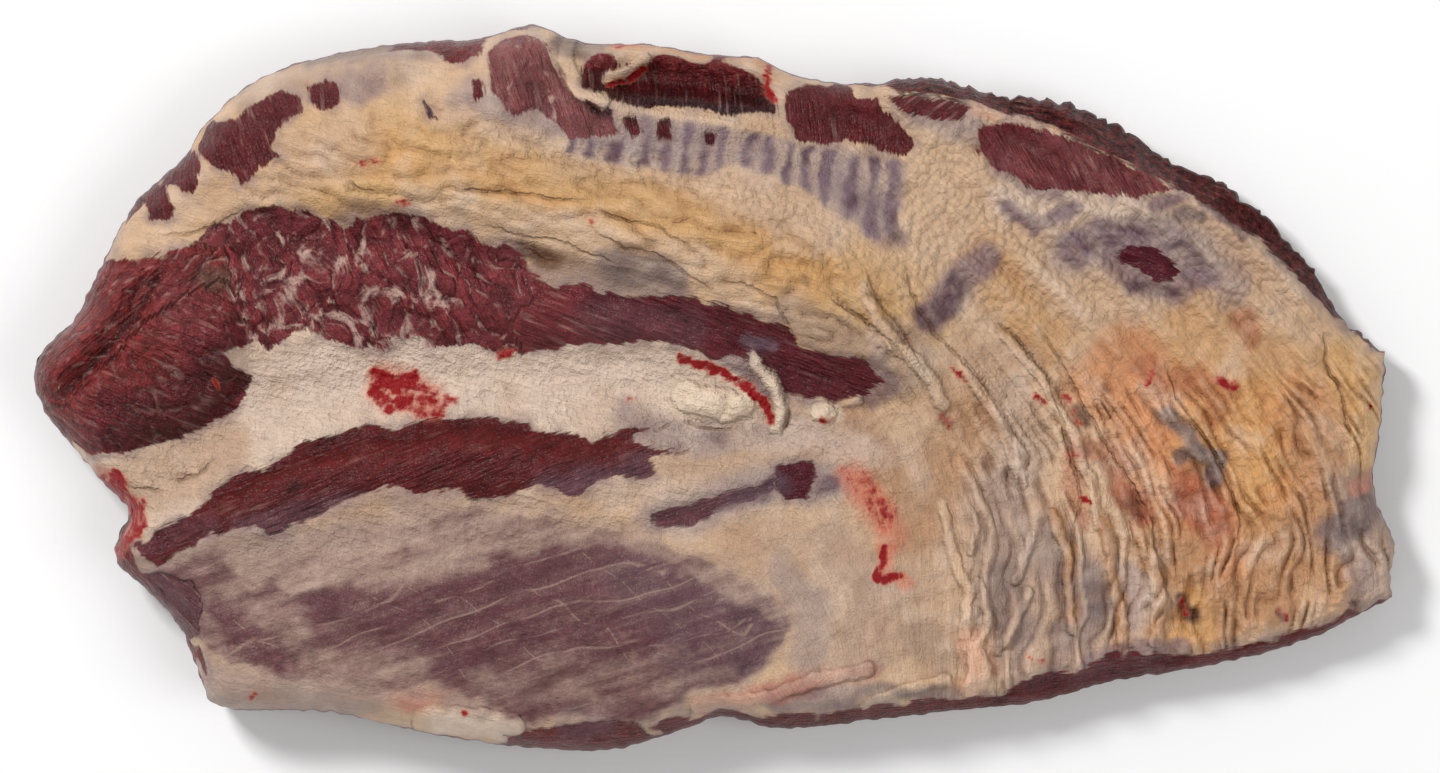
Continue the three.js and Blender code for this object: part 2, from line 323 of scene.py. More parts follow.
# Bare muscle: its colour, the slope of its fibres in degrees, how marbled, how crumbly, how far
# its edge wanders in millimetres, and its outline.
LEAN = {
    "point_lobe": ("lobe", 38, 0.5, 0.3, 1.5, [
        (-300, 50), (-262, 54), (-250, 50.5), (-238, 53), (-228, 53.5), (-213, 60), (-203, 67),
        (-190, 60), (-186, 40), (-200, 30), (-230, 22), (-262, -10), (-285, -30), (-310, 0),
    ]),
    "point_lobe_near": ("lobe", -22, 0.38, 0.3, 1.5, [
        (-290, 0), (-268, -1), (-250, 16), (-236, 32), (-222, 50), (-200, 60), (-184, 40),
        (-186, 24), (-190, 19), (-201, 15), (-197, 9), (-191, 4), (-193, -3), (-201, -13),
        (-220, -21), (-240, -27), (-257, -27), (-264, -24), (-285, -30),
    ]),
    "marbled_band": ("marbled", -64, 1, 0.25, 2.5, [
        (-213, 60), (-203, 67), (-180, 73), (-168, 73), (-152, 66), (-130, 71), (-118, 69),
        (-103, 64), (-98, 60), (-86, 59), (-76, 48), (-60, 36), (-66, 25), (-80, 13), (-92, 16),
        (-103, 18), (-115, 16), (-125, 21), (-137, 15.5), (-150, 17), (-163, 23), (-170, 23),
        (-183, 16.5), (-190, 19), (-201, 15), (-206, 30),
    ]),
    "band_tip": ("marbled", -20, 0.12, 0, 2.5, [
        (-94, 50), (-86, 59), (-77, 48), (-64, 41), (-53, 43), (-46, 38), (-30, 36), (-15, 38),
        (0, 34), (13, 30.5), (20, 25.5), (28, 27), (33, 18), (43, 13), (57, 12.5), (63, 9),
        (70, 1), (62, -1), (50, -6), (38, -5), (27, -1), (20, 10), (5, 13), (0, 10), (-8, 15),
        (-22, 19), (-50, 17.5), (-68, 16.5), (-80, 13), (-95, 24),
    ]),
    "flat_strip": ("strip", 22, 0.1, 0, 2, [
        (-238, -66), (-230, -60), (-213, -50), (-198, -37), (-181, -31), (-165, -21), (-143, -16),
        (-130, -17), (-117, -12), (-100, -12.5), (-76, -14), (-73, -18), (-57, -18.5), (-50, -23),
        (-45, -19), (-28, -17), (-34, -21), (-28, -25), (-14, -24), (-27, -29), (-24, -36),
        (-38, -36), (-60, -44), (-67, -41), (-82, -42), (-97, -48), (-105, -41), (-120, -42),
        (-133, -40), (-148, -45), (-168, -54), (-182, -61), (-189, -57), (-205, -60),
        (-220, -68), (-227, -73),
    ]),
    "far_left_low": ("liver", -70, 0.15, 0, 1.5, [
        (-238, 80), (-235, 74), (-230, 69), (-224, 68), (-221, 73), (-226, 86), (-234, 86),
    ]),
    "far_left_middle": ("liver", -70, 0.15, 0, 1.5, [
        (-230, 90), (-217, 99), (-211, 92), (-212, 78), (-219, 82), (-224, 84),
    ]),
    "far_left": ("liver", -70, 0.2, 0, 2, [
        (-214, 103), (-208, 108), (-196, 110), (-190, 116), (-179, 122), (-170, 121), (-169, 114),
        (-178, 107), (-180, 100), (-177, 94), (-186, 90), (-190, 84), (-195, 82), (-200, 89),
        (-210, 94),
    ]),
    "far_left_high": ("liver", -78, 0.2, 0, 1.2, [
        (-168, 123), (-158, 126), (-153, 122), (-154, 116), (-160, 114), (-166, 117),
    ]),
    "far_left_strip": ("edge", 0, 0, 0.2, 1, [
        (-250, 50), (-246, 62), (-240, 72), (-237, 78), (-244, 84), (-262, 60),
    ]),
    "far_edge_strip": ("pocket", -80, 0.1, 0.2, 1.5, [
        (-134, 139), (-118, 138), (-112, 134), (-102, 132), (-95, 137), (-92, 150), (-134, 150),
    ]),
    "fold": ("faded", -72, 0.4, 0, 1.5, [
        (-93, 138), (-88, 145), (-76, 146), (-69, 142), (-67, 136), (-62, 126), (-56, 119),
        (-48, 116), (-42, 113), (-40, 103), (-47, 102), (-58, 102), (-66, 109), (-72, 114),
        (-80, 112), (-90, 116),
    ]),
    "dot_by_fold": ("liver", -80, 0, 0, 0.8, [
        (-100, 126), (-95, 126), (-94, 118), (-99, 117),
    ]),
    "slit_by_fold": ("violet", -60, 0, 0, 1, [(-119, 117), (-116, 115), (-113, 109), (-117, 111)]),
    "pocket": ("pocket", -86, 0.2, 0.3, 1, [
        (-56, 124), (-53, 133), (-48, 137), (-35, 132), (-25, 136), (-8, 133), (0, 136), (8, 133),
        (16, 128), (22, 124), (26, 112), (15, 113), (8, 111.5), (-8, 114.5), (-30, 115),
        (-38, 117), (-50, 120),
    ]),
    "by_pocket": ("liver", -84, 0.08, 0, 1.5, [
        (28, 122), (34, 124), (42, 125), (54, 125), (58, 118), (66, 119), (69, 113), (76, 109),
        (81, 102), (79, 96), (68, 96), (55, 101), (46, 99), (33, 103), (29, 110),
    ]),
    "far_slivers": ("liver", 40, 0.25, 0, 1, [
        (70, 119), (76, 121), (86, 119), (98, 118), (106, 115), (100, 110), (82, 111), (76, 115),
    ]),
    "far_muscle": ("marbled", -62, 0.25, 0, 1.5, [
        (107, 97), (108, 107), (117, 109), (135, 106), (152, 100), (162, 95), (180, 88), (190, 81),
        (172, 78), (150, 81), (140, 81), (127, 84), (117, 89),
    ]),
    "far_ledge": ("cut", -20, 0.15, 1, 1, [
        (62, 124.5), (80, 121.5), (100, 119), (108, 118), (120, 112), (130, 111), (142, 106),
        (150, 102), (160, 97), (175, 90), (190, 83), (200, 76), (210, 70), (220, 64), (226, 59),
        (235, 51), (243, 42), (252, 33), (260, 25), (266, 19), (273, 16), (290, 20), (260, 60),
        (200, 110), (130, 140), (60, 140),
    ]),
    "oval": ("plum", -20, 0.05, 0, 0.8, [
        (165, 54), (168, 58), (175, 59), (182, 57), (187, 53), (192, 48), (189, 44), (182, 43.5),
        (175, 48), (168, 51),
    ]),
    "rib_window_left": ("liver", -80, 0, 0, 0.8, [
        (-38, 110), (-33, 111), (-30, 104), (-34, 102),
    ]),
    "rib_window_middle": ("liver", -80, 0, 0, 0.8, [
        (-24, 109), (-19, 110), (-18, 101), (-23, 100),
    ]),
    "rib_window_right": ("plum", -80, 0, 0, 0.8, [(-4, 104), (1, 104), (0, 99), (-4, 99)]),
    "bare_by_cut": ("under skin", -35, 0.27, 0, 2.5, [
        (-237, -76), (-226, -76), (-214, -80), (-209, -88), (-211, -98), (-216, -103),
        (-225, -92), (-234, -82),
    ]),
    "window": ("plum", 8, 0, 0, 1, [
        (24, -33), (28, -31), (40, -30.5), (41, -35), (38, -45), (29, -46), (25, -42),
    ]),
    "window_left": ("under skin", 15, 0.05, 0, 1.5, [
        (-27, -51), (-20, -50), (-8, -47), (4, -44), (16, -40), (24, -38), (25, -42), (14, -45),
        (2, -50), (-9, -57), (-17, -58), (-24, -56),
    ]),
    "near_ledge": ("edge", 3, 0.05, 0.15, 1, [
        (-88, -142), (-70, -139), (-45, -136.5), (-34, -136), (-29, -141), (-20, -136), (-3, -132),
        (18, -134), (50, -134), (62, -131), (75, -129.5), (90, -128), (118, -127), (124, -122),
        (138, -116), (148, -118), (160, -110), (167, -106), (176, -109), (195, -110),
        (210, -108), (225, -105), (240, -101), (262, -92), (277, -87), (290, -95), (180, -135),
        (0, -165), (-88, -160),
    ]),
    "left_cut": ("lobe", -52, 0.1, 0.4, 1, [
        (-240, -50), (-243, -62), (-238, -70), (-233, -78), (-224, -90), (-217, -98),
        (-212, -107), (-209, -118), (-211, -124), (-225, -124), (-260, -80), (-252, -52),
    ]),
}

# Muscle under silver skin, how far in from its edge the skin thins, and the slope of its fibres.
SILVER = [
    (-237, -75), (-215, -68), (-190, -62), (-150, -54), (-110, -48), (-60, -52), (-20, -62),
    (5, -73), (26, -84), (36, -96), (30, -110), (16, -121), (-8, -128), (-24, -137), (-50, -139),
    (-80, -137), (-110, -127), (-140, -128), (-165, -124), (-190, -116), (-208, -113),
    (-222, -99), (-240, -84),
]
SILVER_EDGE = 7
SILVER_SLOPE = 17

# The slope in degrees and the spacing of the pale threads in the silver skin.
THREADS = (19, 11)
CROSS_THREADS = (-38, 27)

# Paler patches in the silver skin: how thick the skin is there, half width and line.
VEILS = [
    (0.95, 10, [(-190, -68), (-165, -62), (-150, -60), (-125, -56)]),
    (0.75, 9, [(-130, -58), (-100, -60), (-75, -58)]),
    (0.75, 7, [(-172, -78), (-130, -74), (-100, -70)]),
    (0.7, 7, [(-75, -56), (-40, -56), (-15, -66)]),
    (0.5, 6, [(-212, -95), (-205, -108), (-196, -118)]),
    (0.45, 8, [(-195, -84), (-180, -92), (-172, -100)]),
    (0.5, 9, [(-165, -116), (-140, -115), (-125, -116)]),
    (0.5, 6, [(-195, -120), (-165, -122), (-135, -127)]),
    (0.25, 6, [(-65, -114), (-40, -117), (-15, -110)]),
    (0.35, 8, [(-45, -132), (-20, -126), (0, -120)]),
    (0.6, 6, [(-10, -72), (10, -82), (28, -92)]),
    (0.2, 12, [(-215, -80), (-195, -78)]),
    (0.45, 8, [(20, -76), (33, -95), (30, -112), (14, -124)]),
    (0.4, 8, [(-95, -122), (-70, -126), (-55, -124)]),
]

# Fat and skin: colour, half width, strength and line, one laid over another.
FAT_STROKES = [
    ("white fat", 26, 1, [(-240, -38), (-200, -15), (-150, 3), (-90, 5), (-30, 0), (10, -8)]),
    ("sand", 14, 0.9, [(-240, -40), (-220, -34), (-204, -26)]),
    ("yellow", 24, 1, [
        (-195, 80), (-150, 93), (-110, 92), (-70, 82), (-20, 66), (30, 48), (70, 22),
    ]),
    ("amber", 13, 0.75, [(-140, 95), (-112, 97), (-92, 90), (-70, 86)]),
    ("amber", 14, 0.7, [(-70, 84), (-35, 76), (0, 66), (35, 48)]),
    ("slate", 4, 0.8, [(-165, 135), (-140, 139), (-118, 138)]),
    ("blue", 6, 0.7, [(-150, 124), (-146, 121), (-140, 127)]),
    ("lilac", 12, 0.8, [(-100, 112), (-70, 106), (-40, 100)]),
    ("lilac", 13, 0.8, [(-60, 98), (-20, 98), (20, 94), (45, 88)]),
    ("cream", 5, 0.75, [(-112, 110), (-84, 102), (-52, 94), (-20, 88), (10, 82)]),
    ("yellow", 8, 0.7, [(-118, 101), (-88, 93), (-56, 84), (-24, 77)]),
    ("cream", 4, 0.9, [(-46, 114), (-30, 113), (-5, 111), (15, 109), (26, 106)]),
    ("cream", 8, 0.8, [(6, 104), (22, 100), (40, 92)]),
    ("orange", 4, 0.7, [(-40, 143), (-15, 142), (0, 138), (20, 134)]),
    ("dusk", 4, 0.9, [(-63, 141), (-54, 140), (-48, 141)]),
    ("cream", 12, 0.9, [(0, 84), (25, 78), (45, 66)]),
    ("white fat", 7, 0.7, [(120, 77), (150, 76), (172, 74)]),
    ("sand", 13, 0.8, [(195, 66), (215, 58), (235, 42), (252, 26)]),
    ("cream", 12, 0.9, [(215, 45), (235, 28), (255, 14)]),
    ("yellow", 12, 0.9, [(262, 8), (266, -8), (262, -24)]),
    ("amber", 11, 0.6, [(112, 52), (122, 36), (136, 20)]),
    ("orange", 12, 0.5, [(172, -8), (182, -30), (186, -50)]),
    ("orange", 14, 0.75, [(168, 12), (185, 2), (205, -8), (222, -20)]),
    ("orange", 12, 0.8, [(185, -20), (200, -30), (205, -48), (198, -60)]),
    ("orange", 10, 0.7, [(210, -55), (212, -75), (205, -95)]),
    ("amber", 13, 0.7, [(225, -6), (232, -26), (228, -48)]),
    ("orange", 9, 0.6, [(152, 2), (166, -12), (180, -16)]),
    ("rust", 9, 0.75, [(194, -40), (202, -56)]),
    ("sand", 14, 0.8, [(110, 8), (100, -16), (90, -40), (86, -70)]),
    ("straw", 10, 0.6, [(104, -10), (94, -34), (90, -52)]),
    ("grey", 8, 0.45, [(122, -2), (132, -22), (126, -42)]),
    ("grey", 12, 0.65, [(112, -44), (118, -66), (112, -92), (120, -108)]),
    ("grey", 12, 0.85, [(138, -64), (150, -80), (158, -92), (140, -104)]),
    ("slate", 10, 0.7, [(146, -78), (154, -90)]),
    ("lilac", 7, 0.7, [(170, -76), (172, -96)]),
    ("grey", 16, 0.7, [(122, -66), (128, -88), (132, -104)]),
    ("slate", 8, 0.5, [(117, -78), (122, -98)]),
    ("slate", 8, 0.5, [(142, -66), (150, -84), (146, -100)]),
    ("grey", 10, 0.6, [(120, -30), (126, -50), (134, -62)]),
    ("amber", 17, 0.6, [(195, 26), (220, 8), (250, -2)]),
    ("amber", 16, 0.75, [(205, -18), (226, -34), (240, -58)]),
    ("orange", 12, 0.5, [(240, -6), (246, -30), (236, -52)]),
    ("straw", 13, 1, [(192, -72), (200, -94), (230, -86), (240, -62)]),
    ("amber", 7, 0.8, [(196, -90), (200, -102), (192, -104)]),
    ("straw", 12, 0.8, [(246, -14), (250, -36), (254, -72), (262, -84)]),
    ("slate", 9, 0.95, [(262, -42), (266, -54), (256, -60)]),
    ("grey", 8, 0.8, [(276, -62), (274, -76), (268, -86)]),
    ("sand", 8, 0.5, [(254, -20), (258, -38)]),
    ("lilac", 6, 0.6, [(262, -70), (268, -78)]),
    ("cream", 2.5, 0.9, LOOSE_STRANDS["first"]),
    ("straw", 2.5, 0.9, LOOSE_STRANDS["second"]),
    ("straw", 2.5, 0.9, LOOSE_STRANDS["third"]),
    ("straw", 4, 0.9, LOOSE_STRANDS["fourth"]),
    ("sand", 15, 0.95, [(-30, -28), (0, -30), (25, -20), (50, -20), (62, -35)]),
    ("lilac", 7, 0.8, [(-36, -12), (-22, -18), (-6, -22), (4, -18)]),
    ("mist", 8, 0.9, [(8, -16), (30, -18), (52, -18), (66, -28)]),
    # A painted shadow under the loose lobes of fat.
    ("slate", 2.5, 0.6, [(2, -19), (14, -16), (24, -18)]),
    ("straw", 9, 0.6, [(55, -10), (62, -25), (75, -45), (84, -60)]),
    ("sand", 18, 0.95, [(15, -70), (40, -72), (55, -85), (60, -100), (75, -92)]),
    ("slate", 8, 0.35, [(85, -104), (96, -112)]),
    ("blue", 5, 0.75, [(22, -128), (40, -126), (60, -127)]),
    ("rose", 4, 0.65, [(-6, -130), (20, -126), (45, -119), (62, -116)]),
    ("cream", 4, 0.8, [(62, -131), (78, -124), (100, -119)]),
    ("slate", 3, 0.7, [(62, -124), (80, -126), (100, -124)]),
    ("pink", 7, 0.9, [(104, -106), (109, -114), (105, -122)]),
    ("grey", 8, 0.7, [(125, -112), (140, -108), (156, -104)]),
    ("blue", 4, 0.7, [(150, -116), (165, -108), (190, -106)]),
    ("lilac", 7, 0.9, [(-212, -118), (-200, -125), (-180, -128), (-150, -131)]),
    ("rose", 5, 0.5, [(-175, -116), (-150, -120), (-120, -128)]),
    ("rose", 4, 0.6, [(-125, -128), (-105, -126), (-85, -130)]),
    ("white fat", 6, 0.95, [(-114, -138), (-98, -136), (-84, -140)]),
    ("grey", 4, 0.8, [(-110, -129), (-96, -131)]),
    ("grey", 9, 0.9, [(-62, 47), (-40, 46), (-20, 42)]),
    ("mauve", 4, 0.8, [(6, 12), (14, 6), (20, -2)]),
    ("grey", 8, 0.6, [(30, 32), (45, 22), (64, 14)]),
    ("cream", 9, 0.8, [(-120, 74), (-80, 66), (-50, 60), (-20, 52), (10, 40)]),
    # A painted shadow along the marbled band's upper edge, under the roll of fat.
    ("violet", 4, 0.5, [(-152, 70), (-140, 73), (-125, 72)]),
    ("blue", 7, 0.8, [(88, 28), (96, 38), (104, 47), (110, 53)]),
    ("violet", 5, 0.8, [(86, 27), (94, 31), (100, 40)]),
    ("blue", 6, 0.6, [(52, 84), (60, 76), (66, 68), (72, 62)]),
    ("violet", 4, 0.7, [(62, 78), (70, 70), (74, 64)]),
    ("violet", 4, 0.5, [(74, 88), (74, 76)]),
    ("grey", 9, 0.7, [(72, 20), (82, 12), (74, 4)]),
    ("lilac", 10, 0.7, [(146, 56), (175, 62), (200, 54), (212, 44)]),
    ("blue", 7, 0.85, [(148, 58), (158, 62), (172, 64), (186, 61)]),
    ("blue", 7, 0.75, [(166, 50), (176, 44), (190, 40), (198, 46)]),
    ("violet", 2, 0.7, [(148, 57), (158, 60), (166, 61)]),
    ("violet", 2, 0.7, [(160, 66), (172, 67), (184, 64)]),
    ("violet", 2, 0.7, [(190, 58), (202, 54)]),
    ("violet", 2.5, 0.7, [(172, 43), (182, 39), (192, 40)]),
    ("blue", 3.5, 0.85, [(120, 74), (126, 71), (132, 66), (140, 70), (147, 75)]),
    ("blue", 3, 0.8, [(180, 76), (190, 78)]),
    ("slate", 3, 0.8, [(180, 70), (190, 71), (199, 70)]),
    ("blue", 4, 0.6, [(117, 89), (128, 83), (140, 80)]),
    ("lilac", 6, 0.7, [(84, 111), (100, 107), (108, 112)]),
    ("violet", 2, 0.9, [(200, 76), (208, 70), (217, 62)]),
    ("pink", 4, 0.9, [(108, 115), (120, 112), (135, 110), (150, 103), (170, 94), (190, 84)]),
    ("dusk", 5, 0.55, [(198, -28), (204, -38)]),
    ("rust", 6, 0.8, [(168, -42), (174, -52)]),
    ("rust", 5, 0.5, [(168, -32), (150, -24)]),
    ("rust", 5, 0.5, [(176, 10), (182, 2)]),
    ("rust", 5, 0.55, [(216, 28), (220, 20)]),
    ("rust", 5, 0.45, [(194, 4), (208, -2), (204, -12)]),
    ("rust", 4, 0.5, [(146, -28), (148, -44), (150, -56)]),
    ("rose", 4, 0.6, [(272, -36), (264, -40)]),
    ("rose", 5, 0.8, [(-254, -36), (-246, -42), (-240, -52), (-242, -64)]),
    ("sand", 14, 0.7, [(-205, 76), (-175, 92), (-150, 100)]),
    ("grey", 8, 0.5, [(-190, 118), (-160, 128), (-130, 131)]),
    ("mist", 8, 0.9, [(-228, -74), (-205, -64), (-185, -61), (-165, -56), (-135, -46), (-100, -50)]),
    ("sand", 7, 0.9, [(-100, -50), (-70, -46), (-40, -42), (-20, -40)]),
    ("cream", 7, 0.6, [(-166, -60), (-150, -55), (-138, -52)]),
    ("blue", 4, 0.6, [(-60, -134), (-35, -133), (-15, -129)]),
    ("mist", 8, 0.9, [(-212, -116), (-200, -122), (-170, -124), (-140, -126)]),
    ("lilac", 8, 0.6, [(28, -76), (40, -92), (38, -112)]),
    ("mist", 9, 0.4, [(50, -64), (66, -84), (60, -110)]),
    ("lilac", 9, 0.8, [(-24, -54), (-8, -50), (10, -44), (30, -38), (46, -39)]),
    ("mauve", 5, 0.7, [(64, -4), (70, 2), (66, 8)]),
    ("mauve", 4, 0.85, [(2, -48), (14, -44), (26, -40)]),
    ("mauve", 3, 0.8, [(40, -40), (48, -40)]),
    ("salmon", 7, 0.6, [(56, -36), (62, -44), (68, -52), (72, -60)]),
    ("salmon", 8, 0.5, [(-136, 2), (-126, -2), (-118, -6)]),
    ("salmon", 3, 0.6, [(70, -66), (70, -78), (78, -80)]),
    ("tallow", 7, 0.9, [(-12, -3), (-4, -6), (4, -8), (11, -8)]),
    ("tallow", 2.5, 0.9, [(16, 12), (20, 5), (25, -3), (27, -9), (25, -16)]),
    ("tallow", 4, 0.8, LOOSE_STRANDS["short"]),
    ("cream", 2.8, 0.9, LOOSE_STRANDS["bent"]),
    ("white fat", 7, 0.4, [(12, -18), (40, -20), (60, -26)]),
    ("white fat", 6, 0.4, [(-44, -42), (-10, -42)]),
    # A painted shadow in the slit where the roll of fat meets the muscle.
    ("dusk", 3.5, 0.95, [(-79, 57), (-72, 54), (-66, 52)]),
    ("slate", 6, 0.8, [(-42, 50), (-28, 48), (-16, 44)]),
    ("slate", 3.5, 0.9, [(186, -12), (194, -18), (198, -24), (192, -28)]),
    ("slate", 3.5, 0.9, [(198, -24), (206, -30), (204, -38)]),
    ("sand", 9, 0.45, [(15, 80), (30, 74), (44, 64)]),
    ("yellow", 8, 0.5, [(-25, 72), (5, 60)]),
    ("rust", 7, 0.3, [(198, -44), (202, -56)]),
    ("slate", 8, 0.3, [(146, -82), (154, -88)]),
]

# Bare muscle: colour, half width, strength and line, one laid over another.
LEAN_STROKES = [
    ("marbled", 16, 0.6, [(-215, 35), (-205, 20)]),
    # Painted shade on the point muscle's lower right.
    ("plum", 16, 0.6, [(-242, -16), (-218, -12), (-204, -4), (-200, 8)]),
    ("mauve", 12, 0.5, [(10, -84), (20, -98), (16, -112)]),
    ("mauve", 14, 0.35, [(-30, -78), (-10, -90), (-10, -110)]),
    ("olive", 5, 0.6, [(-208, 45), (-203, 44)]),
    ("plum", 14, 0.7, [(-40, 30), (0, 22), (40, 4), (64, 0)]),
    ("mauve", 3, 0.9, [(14, 20), (19, 18), (24, 17)]),
    ("mauve", 9, 0.5, [(-66, -44), (-40, -40), (-28, -34)]),
    ("mauve", 6, 0.2, [(-236, -66), (-222, -60), (-206, -56)]),
    ("mauve", 6, 0.4, [(-190, -58), (-160, -50), (-148, -46)]),
    ("under skin", 8, 0.6, [(-50, 28), (-30, 27), (-12, 24)]),
    # Painted shadow beneath the pocket's lip and on the point muscle's lower right.
    ("painted_shadow", 6, 0.85, [(-46, 117), (-20, 116), (5, 113), (22, 114)]),
    ("painted_shadow", 12, 0.4, [(-238, -18), (-216, -10), (-204, 4)]),
    ("painted_shadow", 8, 0.45, [(-50, 122), (-20, 120), (16, 116)]),
    ("mauve", 5, 0.6, [(8, -46), (18, -42), (26, -40)]),
    ("under skin", 6, 0.7, [(-224, -80), (-212, -92)]),
    ("plum", 6, 0.5, [(118, -124), (140, -119), (160, -113), (190, -112)]),
    ("mauve", 5, 0.5, [(-60, -138), (-45, -138)]),
    ("plum", 14, 0.15, [(-125, -92), (-95, -96)]),
    ("faded", 9, 0.5, [(122, 96), (150, 92), (178, 82)]),
]

# Blood: half width, strength and line.
BLOOD = [
    (3.5, 1.1, [(-139, 5), (-132, 1), (-124, 4)]),
    (5, 0.8, [(-128, 2), (-118, -3)]),
    (3, 1, [(-140, -2), (-134, -8), (-126, -6)]),
    (2, 0.8, [(-118, -4), (-107, -6)]),
    (4, 0.7, [(-128, -4), (-120, -10), (-114, -10)]),
    (2, 0.4, [(52, -34), (56, -38), (62, -46)]),
    (4, 0.55, [(62, -38), (66, -46), (70, -54)]),
    (2.5, 0.65, [(63, -46), (67, -52), (72, -50), (69, -58)]),
    (1.8, 1, [(69, -67), (68.5, -72), (67, -77)]),
    (1.8, 1, [(66, -78), (71, -79), (76, -77)]),
    (3, 0.9, [(-246, -36), (-243, -40)]),
    (4, 0.9, [(-252, -40), (-244, -44), (-238, -50)]),
    (4, 0.9, [(-237, -48), (-237, -58)]),
    (3, 0.7, [(-240, -60), (-246, -68)]),
    (2, 0.9, [(-89, 14), (-85, 13)]),
    (1.8, 1.2, [(-15, 12.5), (-7, 10), (3, 6), (12, 1), (19, -5), (23, -14)]),
    (1.4, 0.7, [(43, -12.5), (47, -13.5)]),
    (1.8, 0.9, [(22, 131), (21, 124), (24, 118)]),
    (1.4, 0.9, [(-43, 124), (-36, 126.5), (-29, 131)]),
    (1.6, 0.8, [(-42, 141), (-32, 142)]),
    (1.2, 0.8, [(-145, 91), (-137, 92)]),
    (1.2, 0.8, [(-129, 75), (-126, 75)]),
    (1, 0.7, [(-52, 68), (-50, 67)]),
    (2, 0.95, [(208, 3), (212, 0), (214, 1)]),
    (1.4, 0.8, [(177, 2), (179, 6)]),
    (1.5, 0.8, [(132, -2), (135, -6)]),
    (1.4, 0.8, [(143, -3), (146, -6)]),
    (1, 0.8, [(97, 8), (102, 3)]),
    (1.5, 0.6, [(93, -12), (96, -15)]),
    (1.2, 0.8, [(145, -28), (149, -27)]),
    (1, 0.8, [(150, -46), (154, -47)]),
    (1.2, 0.7, [(192, -88), (194, -94)]),
    (1.2, 0.7, [(232, -92), (235, -95)]),
    (1, 0.8, [(269, -9), (270, -8)]),
    (1.5, 0.8, [(-103, -133), (-102, -134)]),
    (1.6, 0.8, [(-190, -127), (-189, -126)]),
    (1, 0.6, [(-37, -5), (-33, -5)]),
    (1, 0.8, [(-206, 4), (-204, 0)]),
    (1.4, 0.6, [(148, -10), (150, -16)]),
    (1.2, 0.5, [(128, -110), (136, -113)]),
]

# Dried dark spots: half width, strength and line.
SPOTS = [
    (3, 0.9, [(192, -88), (194, -93), (197, -94)]),
    (2, 0.8, [(232, -92), (234, -94)]),
    (2.5, 0.7, [(149, -9), (152, -14)]),
    (2, 0.7, [(93, -12), (96, -15)]),
    (3, 0.5, [(170, -48), (174, -53)]),
    (2, 0.5, [(36, 44), (37, 43)]),
    (3, 0.5, [(204, -38), (206, -40)]),
    (2, 0.5, [(160, 0), (161, -1)]),
]

# Where the muscle shows through the fat in upright stripes.
RIBS = [
    (-62, 106), (-40, 100), (-34, 112), (-10, 110), (8, 106), (24, 104), (34, 100), (50, 98),
    (66, 95), (80, 93), (78, 74), (72, 62), (62, 60), (50, 72), (38, 79), (24, 86), (8, 92),
    (-6, 85), (-20, 88), (-40, 91), (-62, 96),
]
RIB_PITCH = 9

# How much of its red, green and blue the fat loses deep between folds, as painted shade.
FOLD_SHADE = (0.18, 0.27, 0.34)

# Bundles of fibres in bare muscle.
BUNDLE_LENGTH = 13
BUNDLE_WIDTH = 7

# Where the marbling is thick: half width, strength and line.
MARBLING = [
    (14, 1.0, [(-195, 38), (-170, 36), (-150, 42)]),
    (10, 0.7, [(-165, 52), (-140, 54), (-122, 48)]),
    (12, 1.0, [(-190, 26), (-160, 30), (-120, 30)]),
    (9, 0.6, [(-215, 38), (-200, 20)]),
    (9, 0.5, [(-95, 30), (-70, 28), (-50, 22)]),
    (5, 0.5, [(-84, 40), (-78, 32)]),
    (9, 1.0, [(-84, 142), (-78, 126), (-64, 114)]),
]

# Texture of the material: the lengths and widths of what is drawn out, and the sizes of what isn't.
FIBRE = (11, 1.4)
STREAK = (18, 2.4)
DRAWN = (14, 3)
SKIN_STREAK = (40, 5)
MOTTLE = 3.2
SPECKLE = 0.9
PEARL = 3.4
BLOTCH = (1 / 2.1, 1 / 1.6)  # of the marbling, counted in bundles of fibres
FAT_ROUGHNESS = 0.4
LEAN_ROUGHNESS = 0.3

# The floor, in metres.
FLOOR_HALF = 3.0
FLOOR_GREYS = ((0.92, 0.92, 0.92, 1), (0.95, 0.95, 0.95, 1))

# The room's light, which dims from the walls' strength to the ceiling's between two heights, counted
# from 0 at the horizon to 1 straight above.
CEILING_FROM = 0.55
CEILING_FULL = 0.95
WALL_STRENGTH = 0.56
CEILING_STRENGTH = 0.16

# The camera: its lens and sensor in millimetres, and what its frame shows, in metres.
CAMERA_LENS = 200
CAMERA_SENSOR = 36
CAMERA_CLIP = 50
FRAME_WIDTH = 0.5904
FRAME_MIDDLE = (1.85 * MM, 0.41 * MM)
FRAME_HEIGHT = 45 * MM


# ---------------------------------------------------------------- lines and noise
def smooth(share):
    """A share from 0 to 1, with its ends eased."""
    share = np.clip(share, 0, 1)
    return share * share * (3 - 2 * share)


def ramp(value, start, end):
    """From 0 to 1 as the value goes from start to end, smoothly."""
    return smooth((value - start) / (end - start))


def quarter_round(share):
    return np.sqrt(1 - (1 - np.clip(share, 0, 1)) ** 2)


def spline(points, steps=24):
    """Dense points of the smooth curve through these points."""
    line = np.array([points[0], *points, points[-1]], float)
    t = np.linspace(0, 1, steps, endpoint=False)[:, None]
    pieces = []
    for before, start, end, after in zip(line, line[1:], line[2:], line[3:]):
        bend = 2 * before - 5 * start + 4 * end - after
        twist = 3 * start - before - 3 * end + after
        pieces.append(start + 0.5 * ((end - before) * t + bend * t**2 + twist * t**3))
    return np.vstack([*pieces, line[-1:]])


def at_shares(line, shares):
    """Points at these shares of a line's length."""
    steps = np.hypot(*np.diff(line, axis=0).T)
    lengths = np.concatenate([[0], np.cumsum(steps)])
    return np.stack([np.interp(shares * lengths[-1], lengths, axis) for axis in line.T], -1)


